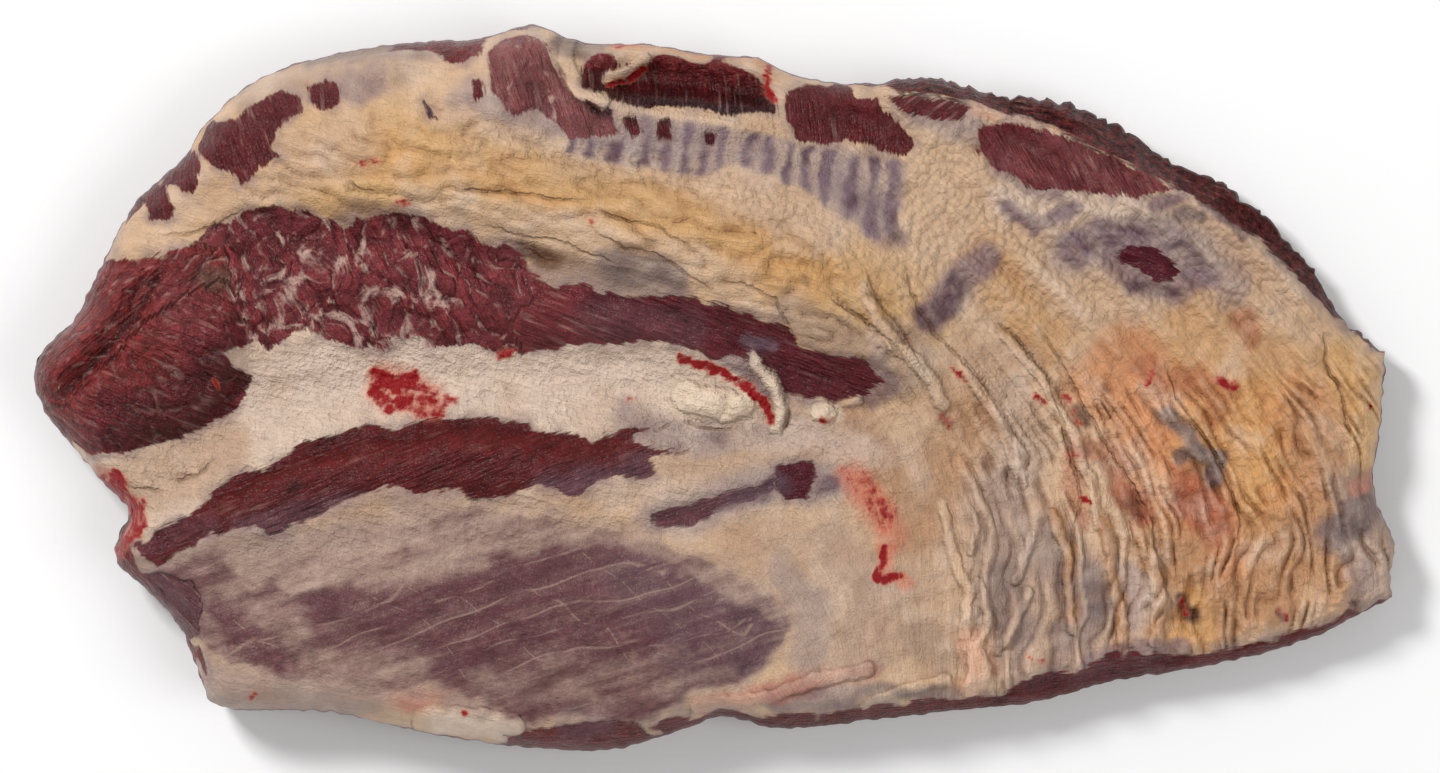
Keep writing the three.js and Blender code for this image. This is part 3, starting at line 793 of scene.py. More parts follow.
def closest(line, x, y):
    """How far (x, y) is from a line, the share of the line's points passed there, and the side:
    1 on the left of someone who walks along it and -1 on the right."""
    distance = np.full(x.shape, np.inf)
    along = np.zeros(x.shape)
    side = np.ones(x.shape)
    for i, ((ax, ay), (bx, by)) in enumerate(zip(line, line[1:])):
        dx, dy = bx - ax, by - ay
        share = np.clip(((x - ax) * dx + (y - ay) * dy) / (dx * dx + dy * dy), 0, 1)
        here = np.hypot(x - ax - share * dx, y - ay - share * dy)
        nearer = here < distance
        distance = np.where(nearer, here, distance)
        along = np.where(nearer, i + share, along)
        side = np.where(nearer, np.sign(dx * (y - ay) - dy * (x - ax)), side)
    return distance, along / (len(line) - 1), side


def from_ends(along):
    """How far a share of a line is from the nearer end of the line."""
    return np.minimum(along, 1 - along)


def depth_inside(outline, x, y):
    """How far (x, y) is inside a closed outline; negative outside it."""
    closed = [*outline, outline[0]]
    distance = closest(closed, x, y)[0]
    within = np.zeros(x.shape, bool)
    for (ax, ay), (bx, by) in zip(closed, closed[1:]):
        if ay != by:
            crosses = (ay > y) != (by > y)
            within ^= crosses & (x < ax + (y - ay) * (bx - ax) / (by - ay))
    return np.where(within, distance, -distance)


def turned(x, y, turn):
    """Places or directions along and across something that runs at an angle."""
    return x * np.cos(turn) + y * np.sin(turn), y * np.cos(turn) - x * np.sin(turn)


def noise(x, y, seed):
    """Smooth noise from about -1 to 1, with cells of one unit."""
    turns = np.random.default_rng(seed).uniform(0, 2 * np.pi, (NOISE_CELLS, NOISE_CELLS))
    column, row = np.floor(x).astype(int), np.floor(y).astype(int)
    fx, fy = x - column, y - row
    ease_x, ease_y = smooth(fx), smooth(fy)

    def corner(dx, dy):
        turn = turns[(column + dx) % NOISE_CELLS, (row + dy) % NOISE_CELLS]
        return np.cos(turn) * (fx - dx) + np.sin(turn) * (fy - dy)

    low = corner(0, 0) * (1 - ease_x) + corner(1, 0) * ease_x
    high = corner(0, 1) * (1 - ease_x) + corner(1, 1) * ease_x
    return NOISE_GAIN * (low * (1 - ease_y) + high * ease_y)


def wander(x, y, reach, seed):
    """The same places, each moved by about reach, so that what is drawn there has uneven edges."""
    moved = []
    for place, own_seed in ((x, seed), (y, seed + 1)):
        slow = noise(x / (5 * reach + 3), y / (5 * reach + 3), own_seed)
        quick = noise(x / (1.5 * reach + 2), y / (1.5 * reach + 2), own_seed + 2)
        moved.append(place + reach * (slow + 0.6 * quick))
    return moved


# ---------------------------------------------------------------- the plan
def spread(share):
    return share - CROWDING * np.sin(2 * np.pi * share) / (2 * np.pi)


def plan_grid():
    """The plan's x and y by row and column: the four sides, blended into a surface between them."""
    u = spread(np.linspace(0, 1, COLUMNS + 1))
    v = spread(np.linspace(0, 1, ROWS + 1))
    near, far = (at_shares(spline(side), u)[None] for side in (NEAR_SIDE, FAR_SIDE))
    thick, thin = (at_shares(spline(side), v)[:, None] for side in (THICK_SIDE, THIN_SIDE))
    u, v = u[None, :, None], v[:, None, None]
    near_line = (1 - u) * np.array(NEAR_LEFT) + u * np.array(NEAR_RIGHT)
    far_line = (1 - u) * np.array(TIP) + u * np.array(FAR_RIGHT)
    corners = (1 - v) * near_line + v * far_line
    grid = (1 - v) * near + v * far + (1 - u) * thick + u * thin - corners
    low, high = grid.min((0, 1)), grid.max((0, 1))
    return (grid - (low + high) / 2) * np.array([LENGTH, WIDTH]) / (high - low)


def ragged(x, y, edge):
    """The same places, moved near the outline so that it is uneven, most at the cut far side."""
    cut = ramp(x, *CUT_X) * ramp(y, *CUT_Y)
    reach = (RAGGED + RAGGED_CUT * cut) * np.exp(-edge / RAGGED_DEPTH)
    return [place + reach * noise(x / 4, y / 4, seed) for place, seed in ((x, 21), (y, 22))]


def outline_points():
    shares = np.linspace(0, 1, OUTLINE_STEPS, endpoint=False)
    sides = [NEAR_SIDE, THIN_SIDE, FAR_SIDE[::-1], THICK_SIDE[::-1]]
    points = np.vstack([at_shares(spline(side), shares) for side in sides])
    return np.vstack([points, points[:1]])


def across_folds(x, y):
    """Across the folds of the thin end, which lean over as they go in from the near side."""
    from_near = np.maximum(0, y + FOLD_SQUARE_TO)
    return x + from_near**2 / (2 * FOLD_BEND)


def fat_flow(x, y):
    """Along and across the way the fat is drawn: level over the thick end, then down and round
    towards the near side over the thin end."""
    turn = ramp(x, 0, FLOW_TURNED_BY)
    along = (x - FLOW_SLOPE * y) * (1 - turn) + (FLOW_FROM_Y - y) * turn
    across_level = y + FLOW_SLOPE * (x + FLOW_LEVEL_SHIFT)
    return along, across_level * (1 - turn) + (across_folds(x, y) - FLOW_FOLD_SHIFT) * turn


# ---------------------------------------------------------------- what covers each place
def linear(name):
    """A palette colour in the renderer's own linear values."""
    share = np.array(PALETTE[name]) / 255
    return np.where(share < 0.04045, share / 12.92, ((share + 0.055) / 1.055) ** 2.4)


def toned(colours, name, weight):
    """The colours, mixed towards a palette colour by a weight for each place."""
    return colours + (linear(name) - colours) * weight[:, None]


def stroke_weight(line, half_width, x, y):
    """1 on a stroke, easing off to 0 between half of its half width and one and a half of it."""
    return smooth(1.5 - closest(line, x, y)[0] / half_width)


def painted(colours, strokes, x, y, seed):
    """The colours with soft-edged strokes laid over them."""
    x, y = wander(x, y, 2.5, seed)
    for name, half_width, strength, line in strokes:
        colours = toned(colours, name, strength * stroke_weight(line, half_width, x, y))
    return colours


def marked(strokes, x, y, reach, seed):
    """How strongly soft-edged strokes mark each place: the strongest of them there, or 0."""
    x, y = wander(x, y, reach, seed)
    marks = np.zeros(x.shape)
    for half_width, strength, line in strokes:
        marks = np.maximum(marks, strength * stroke_weight(line, half_width, x, y))
    return marks


def bare_muscle(x, y):
    """How deep each place lies in bare muscle, how far it is from where one muscle borders on
    another, and the looks of the muscle nearest to it."""
    muscles = list(LEAN.values())
    depths = [
        depth_inside(outline, *wander(x, y, edge, 100 + 10 * number))
        for number, (*_, edge, outline) in enumerate(muscles)
    ]
    nearest = np.argmax(depths, 0)
    second, depth = np.sort(depths, 0)[-2:]
    tint = np.array([linear(name) for name, *_ in muscles])[nearest]
    slope, marbled, crumbly = np.array([muscle[1:4] for muscle in muscles], float)[nearest].T
    return depth, depth - second, tint, slope, marbled, crumbly


def silver_skin(x, y):
    """How deep each place lies in the skinned muscle, and how thick the skin is there, from about
    0 to 1."""
    x, y = wander(x, y, 3, 31)
    depth = depth_inside(SILVER, x, y)
    veil = 0.04 + 0.96 * (1 - smooth(depth / SILVER_EDGE))
    for thickness, half_width, line in VEILS:
        veil = np.maximum(veil, thickness * stroke_weight(line, half_width, x, y))
    torn = 0.3 * noise((x + 0.3 * y) / 50, (y - 0.3 * x) / 7, 33) + 0.1 * noise(x / 11, y / 7, 34)
    return depth, veil + torn * smooth(3 * veil)


def striped(fat, x, y):
    """The fat's colour with the muscle that shows through it in upright stripes."""
    x_rib, y_rib = wander(x, y, 1.5, 35)
    ribs = ramp(depth_inside(RIBS, x_rib, y_rib), -1, 2)
    phase = 2 * np.pi * (x_rib - 0.12 * y) / RIB_PITCH + 3 * noise(x / 30, y / 60, 36)
    stripes = smooth(0.5 + 0.7 * np.sin(phase) + 0.9 * noise(x_rib / 7, y / 18, 37))
    fat = toned(fat, "lilac", 0.6 * ribs)
    fat = toned(fat, "blue", 0.85 * ribs * stripes)
    dark = smooth(1.5 * noise(x / 11, y / 9, 39) + 0.1)
    return toned(fat, "violet", 0.75 * ribs * stripes**2 * dark)


def fat_colours(x, y, bare, silver, lie):
    """The fat's colour: painted patches, then the clouds, folds and stripes that break them up, with
    painted shade deep between the folds.
    """
    fat = np.tile(linear("cream"), (x.size, 1))
    fat = painted(fat, FAT_STROKES, x, y, 41)
    clouds = noise(x / 19, y / 19, 61) + 0.6 * noise(x / 9, y / 9, 62)
    fat = toned(fat, "white fat", 0.35 * smooth(clouds))
    fat = toned(fat, "straw", 0.2 * smooth(-clouds))
    fat = toned(fat, "mist", 0.85 * ramp(silver, -4, 6))
    fat = fat * (1 + 0.07 * noise(x / 6, y / 6, 63))[:, None]

    fat = toned(fat, "sand", 0.7 * lie.folded * lie.loose * lie.rope)
    # Painted shade deep between the folds; folded fat is also a little brighter overall.
    valley_shade = lie.folded * (1 - smooth(lie.field / 0.6)) * (1 - 0.6 * lie.loose)
    fat = fat * (1 + 0.12 * lie.folded[:, None] - valley_shade[:, None] * FOLD_SHADE)
    fat = striped(fat, x, y)

    near_muscle = ramp(bare, -4.5, -0.5) * smooth(0.6 + noise(x / 9, y / 9, 64))
    fat = toned(fat, "film", 0.7 * near_muscle)
    return toned(fat, "brown", marked(SPOTS, x, y, 1, 45))


def lean_colours(x, y, tint, skinned, drop, crease, cavity):
    """The muscle's colour: painted patches, with painted shade in creases, hollows and down the sides,
    and painted light on bumps.
    """
    tint = np.where(skinned[:, None], linear("under skin"), tint)
    tint = painted(tint, LEAN_STROKES, x, y, 43)
    # Random tone, lighter on bumps and darker in hollows as painted light and shade, and darker in
    # creases and down the sides as painted shade.
    uneven = 0.16 * noise(x / 11, y / 11, 71) + 0.12 * noise(x / 5, y / 5, 72) + 0.14 * cavity
    uneven = uneven - 0.5 * crease - 0.2 * ramp(drop, 3, 17)
    return tint * np.clip(1 + uneven, 0.3, 1.5)[:, None]


# ---------------------------------------------------------------- heights
def form_height(form, x, y):
    rise, left, right, crest = form
    distance, along, side = closest(crest, x, y)
    fall = np.clip(distance / np.where(side > 0, left, right), 0, 1)
    return rise * smooth(from_ends(along) / END_FADE) * (1 - fall**2) ** 2


def broad_folds(x, y):
    onset = smooth((x - FOLD_START) / FOLD_ONSET)
    wave = 2 * np.pi * across_folds(x, y) / FOLD_PITCH + np.sin(y / FOLD_PITCH)
    return FOLD_HEIGHT * onset * np.sin(wave)


def strand_field(x, y, folded, pillowed):
    """Two values, which are both zero only in a crease. The first passes zero at each crease, of
    strands where the fat is folded, of pillows on its roll and of long uneven wrinkles elsewhere.
    The second fills a crease where two strands merge."""
    along, across = fat_flow(x, y)
    wrinkles = noise(along / 42, across / 8, 2) + 0.4 * noise(along / 15, across / 5, 3)
    bent_along, bent_across = wander(along, across, 2.5, 24)
    pillows = 2 * noise(bent_along / PILLOW_LENGTH, bent_across / PILLOW_WIDTH, 27)
    wrinkles = wrinkles + (pillows - wrinkles) * pillowed
    strand = across / STRAND_PITCH + 1.2 * noise(along / 60, across / 26, 1)
    strand = strand + 0.75 * noise(along / 17, across / 10, 10)
    merged = 1.1 * folded * smooth(0.1 + 1.4 * noise(along / 16, across / 8, 14))
    return wrinkles + (np.sin(np.pi * strand) - wrinkles) * folded, merged


def lie_of_fat(x, y):
    """How closely the fat is folded, how loosely its strands lie, how much it swells in pillows and
    how creased it is, each 0 to 1; its strand field, how far that is from zero, and its ropes."""
    folded = ramp(x, *FOLDED_X) * ramp(y, *FOLDED_Y)
    loose = ramp(x, *LOOSE_FROM_X) * ramp(x, *LOOSE_TO_X) * ramp(y, *LOOSE_Y)
    pillowed = (1 - folded) * marked(PILLOWS, x, y, 3, 25)
    creased = np.maximum(marked(CREASED, x, y, 3, 13), 0.7 * pillowed)
    strand, merged = strand_field(x, y, folded, pillowed)
    rope = np.exp(-(((strand - 0.9) / 0.4) ** 2)) * smooth(0.8 + 1.5 * noise(x / 14, y / 30, 16))
    return SimpleNamespace(
        folded=folded, loose=loose, pillowed=pillowed, creased=creased, strand=strand,
        merged=merged, field=np.hypot(strand, merged), rope=rope,
    )


def strand_height(x, y, lie):
    """Swelling strands between sharp creases where the fat is folded, ropes on a flat skin where it
    is loose, and shallow creases and pillows elsewhere."""
    along, across = fat_flow(x, y)
    uneven = 1 + 0.5 * noise(x / 12, y / 16, 12)
    strands = STRAND_HEIGHT * uneven * (lie.field**0.65 - 0.8)
    strands = strands + 1.2 * noise(along / 7, across / 5, 15)
    ropes = ROPE_HEIGHT * lie.rope - 0.8
    creases = (1 - lie.folded) * lie.creased * (1.3 * smooth(lie.field / 0.25) - 1)
    pillows = PILLOW_HEIGHT * lie.pillowed * (np.sqrt(np.minimum(lie.field, 1)) - 0.7)
    return lie.folded * (strands * (1 - lie.loose) + ropes * lie.loose) + creases + pillows


def fat_swell(x, y):
    """Broad low swellings along the way the fat is drawn, highest in the folds' beginnings."""
    along, across = fat_flow(x, y)
    height = SWELL_HEIGHT + SWELL_AT_FOLDS * ramp(x, *SWOLLEN_X) * ramp(y, *SWOLLEN_Y)
    return height * (np.abs(noise(along / 70, across / 17, 4)) - 0.3)


def lobe_forms(x, y):
    """The height of the loose lobes, and how far outside them each place is."""
    x, y = wander(x, y, 1.2, 7)
    height = np.zeros(x.shape)
    outside = np.full(x.shape, FAR_AWAY)
    for rise, half_width, line in LOBES:
        distance, along, _ = closest(line, x, y)
        ends = smooth(3 * from_ends(along) + 0.5)
        height = np.maximum(height, rise * ends * smooth(1.7 * (1 - distance / half_width)))
        outside = np.minimum(outside, distance - 0.8 * half_width)
    return height, outside


def crease_forms(x, y):
    """How near a long crease each place lies, 0 to 1, and its distance from that crease, negative
    on the right side of it."""
    x, y = wander(x, y, 0.8, 17)
    crease = np.zeros(x.shape)
    beside = np.full(x.shape, 9.0)
    for line in CREASES:
        distance, along, side = closest(line, x, y)
        ends = smooth(4 * from_ends(along) + 0.2)
        nearer = distance < np.abs(beside)
        crease = np.where(nearer, ends * np.exp(-((distance / CREASE_REACH) ** 2)), crease)
        beside = np.where(nearer, distance * side, beside)
    return crease, beside


def slab_height(x):
    taper = smooth((x - TAPER_START) / (LENGTH / 2 - TAPER_START))
    return THICK_END + (THIN_END - THICK_END) * taper


def top_height(x, y, edge, bare, strands, bundles, lobes, crease):
    """The slab with its forms and, over them, the fine relief of the fat and of the muscle."""
    slab = slab_height(x)
    fat = 1 - ramp(bare, -1.5, 1)
    relief = sum(form_height(form, x, y) for form in FORMS.values()) + broad_folds(x, y)
    relief = relief + fat * (strands + fat_swell(x, y)) + lobes - CREASE_DEPTH * crease
    grainy = fat * (0.3 + 0.7 * ramp(x, *ROUGH_X))
    relief = relief + GRAIN_HEIGHT * grainy * noise(x / 5, y / 5, 5)
    relief = relief + UNEVEN_HEIGHT * noise(x / 13, y / 9, 6)
    relief = relief + (1 - fat) * (bundles - 1.2)
    rim = RIM_SHARE * slab
    return rim + (slab + relief - rim) * quarter_round(edge / SHOULDER)


# ---------------------------------------------------------------- the mesh
def grid_indices():
    return np.arange((ROWS + 1) * (COLUMNS + 1)).reshape(ROWS + 1, COLUMNS + 1)


def border_indices():
    """The grid's border, counter-clockwise seen from above, as indices into the flat grid."""
    index = grid_indices()
    return np.concatenate([index[0, :-1], index[:-1, -1], index[-1, :0:-1], index[:0:-1, 0]])


def blurred(values, reach):
    """Values on the grid, each the mean of those up to reach rows and columns away."""
    grid = values.reshape(ROWS + 1, COLUMNS + 1, -1)
    for axis in (0, 1):
        widths = [(reach, reach) if axis == side else (0, 0) for side in range(3)]
        padded = np.pad(grid, widths, mode="edge")
        steps = range(2 * reach + 1)
        size = grid.shape[axis]
        grid = np.mean([np.take(padded, np.arange(step, step + size), axis) for step in steps], 0)
    return grid.reshape(values.shape)


def unrolled(x, y, drop):
    """The places with the rounded shoulder laid out flat, so that texture isn't stretched down it:
    each moves outwards, square to the outline near it."""
    points = outline_points()
    across = np.zeros(x.shape)
    ahead = np.zeros(x.shape)
    for (px, py), (dx, dy) in zip(points, np.diff(points, axis=0)):
        weight = np.exp(-((px - x) ** 2 + (py - y) ** 2) / OUTWARD_REACH**2)
        across += weight * dy
        ahead -= weight * dx
    shift = SHOULDER_SPREAD * drop / np.maximum(np.hypot(across, ahead), 1e-9)
    return x + across * shift, y + ahead * shift


def covering_muscle(x, y, at_x, at_y, drop):
    """What bare_muscle says, with the sides below the fat cap as muscle too."""
    swayed = SIDE_SWAY * ramp(drop, 0, 16)
    sway_x, sway_y = [swayed * noise(at_x / 12, at_y / 12, seed) for seed in (91, 92)]
    bare, within, tint, slope, marbled, crumbly = bare_muscle(x + sway_x, y + sway_y)
    cap = slab_height(x) * (FAT_CAP + 0.07 * noise(at_x / 15, at_y / 15, 93))
    below_cap = drop - cap
    tint[below_cap > bare] = linear("edge")
    bare = np.maximum(bare, below_cap)
    return bare, ramp(within, 0, 3), blurred(tint, 2), slope, blurred(marbled, 3), crumbly


def fibre_bundles(x, y, grain_x, grain_y, within):
    """Places counted in bundles of fibres, along and across them, and the bundles' height."""
    sway_x = 6 * noise(x / 15, y / 15, 77) + 1.5 * noise(x / 6, y / 6, 78)
    sway_y = 5 * noise(x / 15, y / 15, 79) + 1.5 * noise(x / 6, y / 6, 80)
    bundle_x = (grain_x + sway_x) / BUNDLE_LENGTH
    bundle_y = (grain_y + sway_y) / BUNDLE_WIDTH
    height = BUNDLE_HEIGHT * np.abs(noise(bundle_x, bundle_y, 11))
    height = height + 1.2 * noise(grain_x / 30, grain_y / 9, 9)
    return bundle_x, bundle_y, 0.6 + (height - 0.6) * within


def threads(x, y, slope, pitch, seed):
    """A value that passes zero along each of the silver skin's threads, which run at a slope."""
    along, across = turned(x, y, math.radians(slope))
    bend = 0.9 * noise(along / 70, across / 30, seed)
    bend = bend + 0.25 * noise(along / 18, across / 12, seed + 1)
    return np.sin(np.pi * (across / pitch + bend))


def level(x, y):
    """Places or directions in the plan as vectors."""
    return np.stack([x, y, np.zeros(x.shape)], -1)


def top_looks(x, y, edge):
    """The height of the top, the angle of its fibres, and every attribute of it by name."""
    drop = (1 - RIM_SHARE) * slab_height(x) * (1 - quarter_round(edge / SHOULDER))
    at_x, at_y = unrolled(x, y, drop)
    bare, within, lean_tint, slope, marbled, crumbly = covering_muscle(x, y, at_x, at_y, drop)
    lobes, outside_lobes = lobe_forms(x, y)
    crease, beside = crease_forms(x, y)
    bare = np.minimum(bare, outside_lobes + 4 * ramp(drop, 0, 10))
    silver, veil = silver_skin(x, y)
    skinned = (silver > -2) & (bare < 0)
    turn = np.radians(np.where(skinned, SILVER_SLOPE, slope))
    grain_x, grain_y = turned(at_x, at_y, turn)
    bundle_x, bundle_y, bundles = fibre_bundles(x, y, grain_x, grain_y, within)

    lie = lie_of_fat(x, y)
    height = top_height(x, y, edge, bare, strand_height(x, y, lie), bundles, lobes, crease)
    inland = ramp(edge, 0, RIM_FADE)
    cavity = (height - blurred(height, 3)) * inland

    grainy = ramp(x, *GRAINY_X) * ramp(y, *GRAINY_Y)
    grainy = np.maximum(grainy, marked(GRAINY, x, y, 3, 23))
    seams = 0.7 * marked(MARBLING, x, y, 3, 75) + 0.2 + 0.6 * noise(x / 11, y / 11, 76)
    broken = smooth(0.7 + noise(x / 13, y / 13, 82))
    return height, turn, {
        "bare": bare,
        "silver": silver,
        "veil": veil,
        "seams": marbled * seams,
        "within": within,
        "fraying": FRAYED_TOP + (FRAYED_SIDE - FRAYED_TOP) * ramp(drop, 1, 7),
        "crumbly": crumbly,
        "chunky": smooth(2.2 * marbled - 0.4),
        "in_lobe": -outside_lobes,
        "flaky": marked(FLAKY, x, y, 3, 19),
        "crease": crease * inland,
        "beside": beside,
        # Painted shade in hollows, from the cavity.
        "hollow_shade": smooth(-(cavity + 0.4 - 0.25 * lie.pillowed) / (1.5 - 0.5 * lie.pillowed)),
        # A painted highlight on crests, from the cavity.
        "crest": smooth((cavity - 0.2) / 1.5) * (1 - 0.8 * lie.pillowed),
        "grainy": np.maximum(grainy, 0.6 * lie.folded * (1 - lie.loose)),
        "strand": lie.strand,
        "merged": lie.merged,
        "creased": np.clip(lie.folded + 0.8 * lie.creased, 0.05, 1) * broken,
        "blood": marked(BLOOD, x, y, 1, 47) * (0.9 + 0.4 * noise(x / 2.7, y / 2.7, 48)),
        "fat_tint": fat_colours(x, y, bare, silver, lie),
        "lean_tint": lean_colours(x, y, lean_tint, skinned, drop, crease, cavity),
        "at": level(at_x, at_y),
        "grain": level(grain_x, grain_y),
        "bundle": level(bundle_x, bundle_y),
        "threads": threads(at_x, at_y, *THREADS, 83),
        "cross_threads": threads(at_x, at_y, *CROSS_THREADS, 85),
        "flow": level(*fat_flow(at_x, at_y)),
    }


def wall_places(x, y, rim):
    """The side's rings, rounding in under the meat from the widest line down to the underside, each
    with how far along the side its points are."""
    passed = np.concatenate([[0], np.cumsum(np.hypot(np.diff(x), np.diff(y)))])
    rings = []
    for ring in range(1, RINGS + 1):
        turn = ring / RINGS * math.pi / 2
        z = rim * (1 - math.sin(turn))
        uneven = 1.3 * noise(passed / 9, z / 6, 51) + 0.7 * noise(passed / 4, z / 3, 52)
        inset = BASE_INSET * (1 - math.cos(turn)) + uneven * math.sin(2 * turn)
        rings.append((x * (1 - 2 * inset / LENGTH), y * (1 - 2 * inset / WIDTH), z, passed))
    return rings


def wall_looks(looks, outward, turn, passed, below):
    """The side under the rim: muscle with a pale seam in it. It carries on the looks of the rim."""
    wall = {name: values.copy() for name, values in looks.items()}
    seam_at = SEAM_BELOW + 5 * noise(passed / 45, 0 * passed, 54)
    seam = np.abs(below - seam_at) - 0.7 - 1.2 * noise(passed / 17, below / 9, 55)
    wall["bare"] = np.minimum(wall["bare"] + below, seam + 1)
    cut = linear("edge") * (1 + 0.25 * noise(passed / 30, below / 12, 56))[:, None]
    wall["lean_tint"] += (cut - wall["lean_tint"]) * ramp(below, 0, 10)[:, None]
    wall["silver"] = np.full(passed.shape, -FAR_AWAY)
    wall["blood"] = wall["blood"] * ramp(below, 8, 0)
    wall["crumbly"] = np.maximum(wall["crumbly"], 0.3)
    for name in ("crease", "hollow_shade", "crest", "creased", "grainy"):
        wall[name] = wall[name] * ramp(below, 6, 0)
    down_x, down_y = outward * below
    grain_x, grain_y = turned(down_x, down_y, turn)
    wall["at"] += level(down_x, down_y)
    wall["flow"] += level(down_x, down_y)
    wall["grain"] += level(grain_x, grain_y)
    wall["bundle"] += level(grain_x / BUNDLE_LENGTH, grain_y / BUNDLE_WIDTH)
    return wall


def write_attribute(mesh, name, values):
    if values.ndim == 1:
        kind, field = "FLOAT", "value"
    elif name.endswith("tint"):
        kind, field = "FLOAT_COLOR", "color"
        values = np.hstack([np.clip(values, 0, 1), np.ones((len(values), 1))])
    else:
        kind, field = "FLOAT_VECTOR", "vector"
    attribute = mesh.attributes.new(name, kind, "POINT")
    attribute.data.foreach_set(field, values.astype(np.float32).ravel())


def skin_faces(border):
    """Quads of the top and the side, and one face for the underside."""
    index = grid_indices()
    top = np.stack([index[:-1, :-1], index[:-1, 1:], index[1:, 1:], index[1:, :-1]], -1)
    faces = top.reshape(-1, 4).tolist()
    upper = border
    for ring in range(RINGS):
        lower = index.size + ring * border.size + np.arange(border.size)
        side = [lower, np.roll(lower, -1), np.roll(upper, -1), upper]
        faces += np.stack(side, -1).tolist()
        upper = lower
    faces.append(upper[::-1].tolist())
    return faces


def placed(name, data):
    """A new object of the scene that shows this mesh, light or camera."""
    thing = bpy.data.objects.new(name, data)
    bpy.context.scene.collection.objects.link(thing)
    return thing


def make_brisket():
    grid = plan_grid()
    x, y = grid[..., 0].ravel(), grid[..., 1].ravel()
    edge = closest(outline_points(), x, y)[0]
    x, y = ragged(x, y, edge)
    height, turn, looks = top_looks(x, y, edge)
    border = border_indices()
    rim = height[border]
    rim_looks = {name: values[border] for name, values in looks.items()}
    outward = rim_looks["at"][:, :2].T - [x[border], y[border]]
    outward = outward / np.hypot(*outward)
    places = [np.stack([x, y, height], -1)]
    parts = [looks]
    for ring_x, ring_y, ring_z, passed in wall_places(x[border], y[border], rim):
        places.append(np.stack([ring_x, ring_y, ring_z], -1))
        parts.append(wall_looks(rim_looks, outward, turn[border], passed, rim - ring_z))
    mesh = bpy.data.meshes.new("brisket_meat")
    mesh.from_pydata((np.vstack(places) * MM).tolist(), [], skin_faces(border))
    for name in looks:
        write_attribute(mesh, name, np.concatenate([part[name] for part in parts]))
    mesh.shade_smooth()
    mesh.materials.append(meat_material())
    return placed("brisket_meat", mesh)


# ---------------------------------------------------------------- the material
class Shader:
    """Adds nodes to one material or world. Each call gives back the socket that holds its result."""

    def __init__(self, owner):
        owner.use_nodes = True
        self.tree = owner.node_tree
        self.tree.nodes.clear()

    def node(self, kind, inputs, **settings):
        node = self.tree.nodes.new(kind)
        for name, value in settings.items():
            setattr(node, name, value)
        for name, value in inputs.items():
            if isinstance(value, bpy.types.NodeSocket):
                self.tree.links.new(value, node.inputs[name])
            else:
                node.inputs[name].default_value = value
        return node

    def attribute(self, name, output="Fac"):
        return self.node("ShaderNodeAttribute", {}, attribute_name=name).outputs[output]

    def counted(self, places, length, width):
        """Places counted in cells of this length and width."""
        inputs = {0: places, 1: (1 / length, 1 / width, 1)}
        return self.node("ShaderNodeVectorMath", inputs, operation="MULTIPLY").outputs[0]

    def math(self, operation, *values):
        return self.node("ShaderNodeMath", dict(enumerate(values)), operation=operation).outputs[0]

    def joined(self, operation, first, *others):
        for other in others:
            first = self.math(operation, first, other)
        return first

    def times(self, *values):
        return self.joined("MULTIPLY", *values)

    def plus(self, *values):
        return self.joined("ADD", *values)

    def largest(self, *values):
        return self.joined("MAXIMUM", *values)

    def swing(self, noise, reach):
        """A noise moved from its middle of 0.5 to 0, times a reach."""
        return self.times(reach, self.plus(noise, -0.5))

    def step(self, value, start, end, low=0.0, high=1.0):
        """From low to high as the value goes from start to end, smoothly."""
        inputs = {"Value": value, "From Min": start, "From Max": end, "To Min": low, "To Max": high}
        node = self.node("ShaderNodeMapRange", inputs, interpolation_type="SMOOTHSTEP")
        return node.outputs[0]

    def near_zero(self, value, width, high=1.0):
        """High where the value passes zero, and 0 where it is a width or more from zero."""
        return self.step(self.math("ABSOLUTE", value), 0.0, width, high, 0.0)

    def mix(self, share, first, second):
        return self.node("ShaderNodeMix", {0: share, 6: first, 7: second}, data_type="RGBA").outputs[2]

    def between(self, share, first, second):
        return self.node("ShaderNodeMix", {0: share, 2: first, 3: second}).outputs[0]

    def brightened(self, colour, factor):
        inputs = {0: colour, "Scale": factor}
        return self.node("ShaderNodeVectorMath", inputs, operation="SCALE").outputs[0]

    def noise(self, places, size=1.0, detail=1.0, roughness=0.5):
        inputs = {"Vector": places, "Scale": 1 / size, "Detail": detail, "Roughness": roughness}
        return self.node("ShaderNodeTexNoise", inputs, noise_dimensions="2D").outputs["Fac"]

    def voronoi(self, places, feature):
        inputs = {"Vector": places, "Scale": 1.0}
        return self.node("ShaderNodeTexVoronoi", inputs, feature=feature, voronoi_dimensions="2D")

    def cell_edges(self, places):
        return self.voronoi(places, "DISTANCE_TO_EDGE").outputs["Distance"]

    def cells(self, places):
        """How far each place is from the middle of its cell, and a random value for the cell."""
        node = self.voronoi(places, "F1")
        value = self.node("ShaderNodeSeparateColor", {0: node.outputs["Color"]}).outputs[0]
        return node.outputs["Distance"], value

    def surface(self, looks):
        shader = self.node("ShaderNodeBsdfPrincipled", looks)
        self.node("ShaderNodeOutputMaterial", {"Surface": shader.outputs[0]})


def rgba(name):
    return (*linear(name), 1.0)


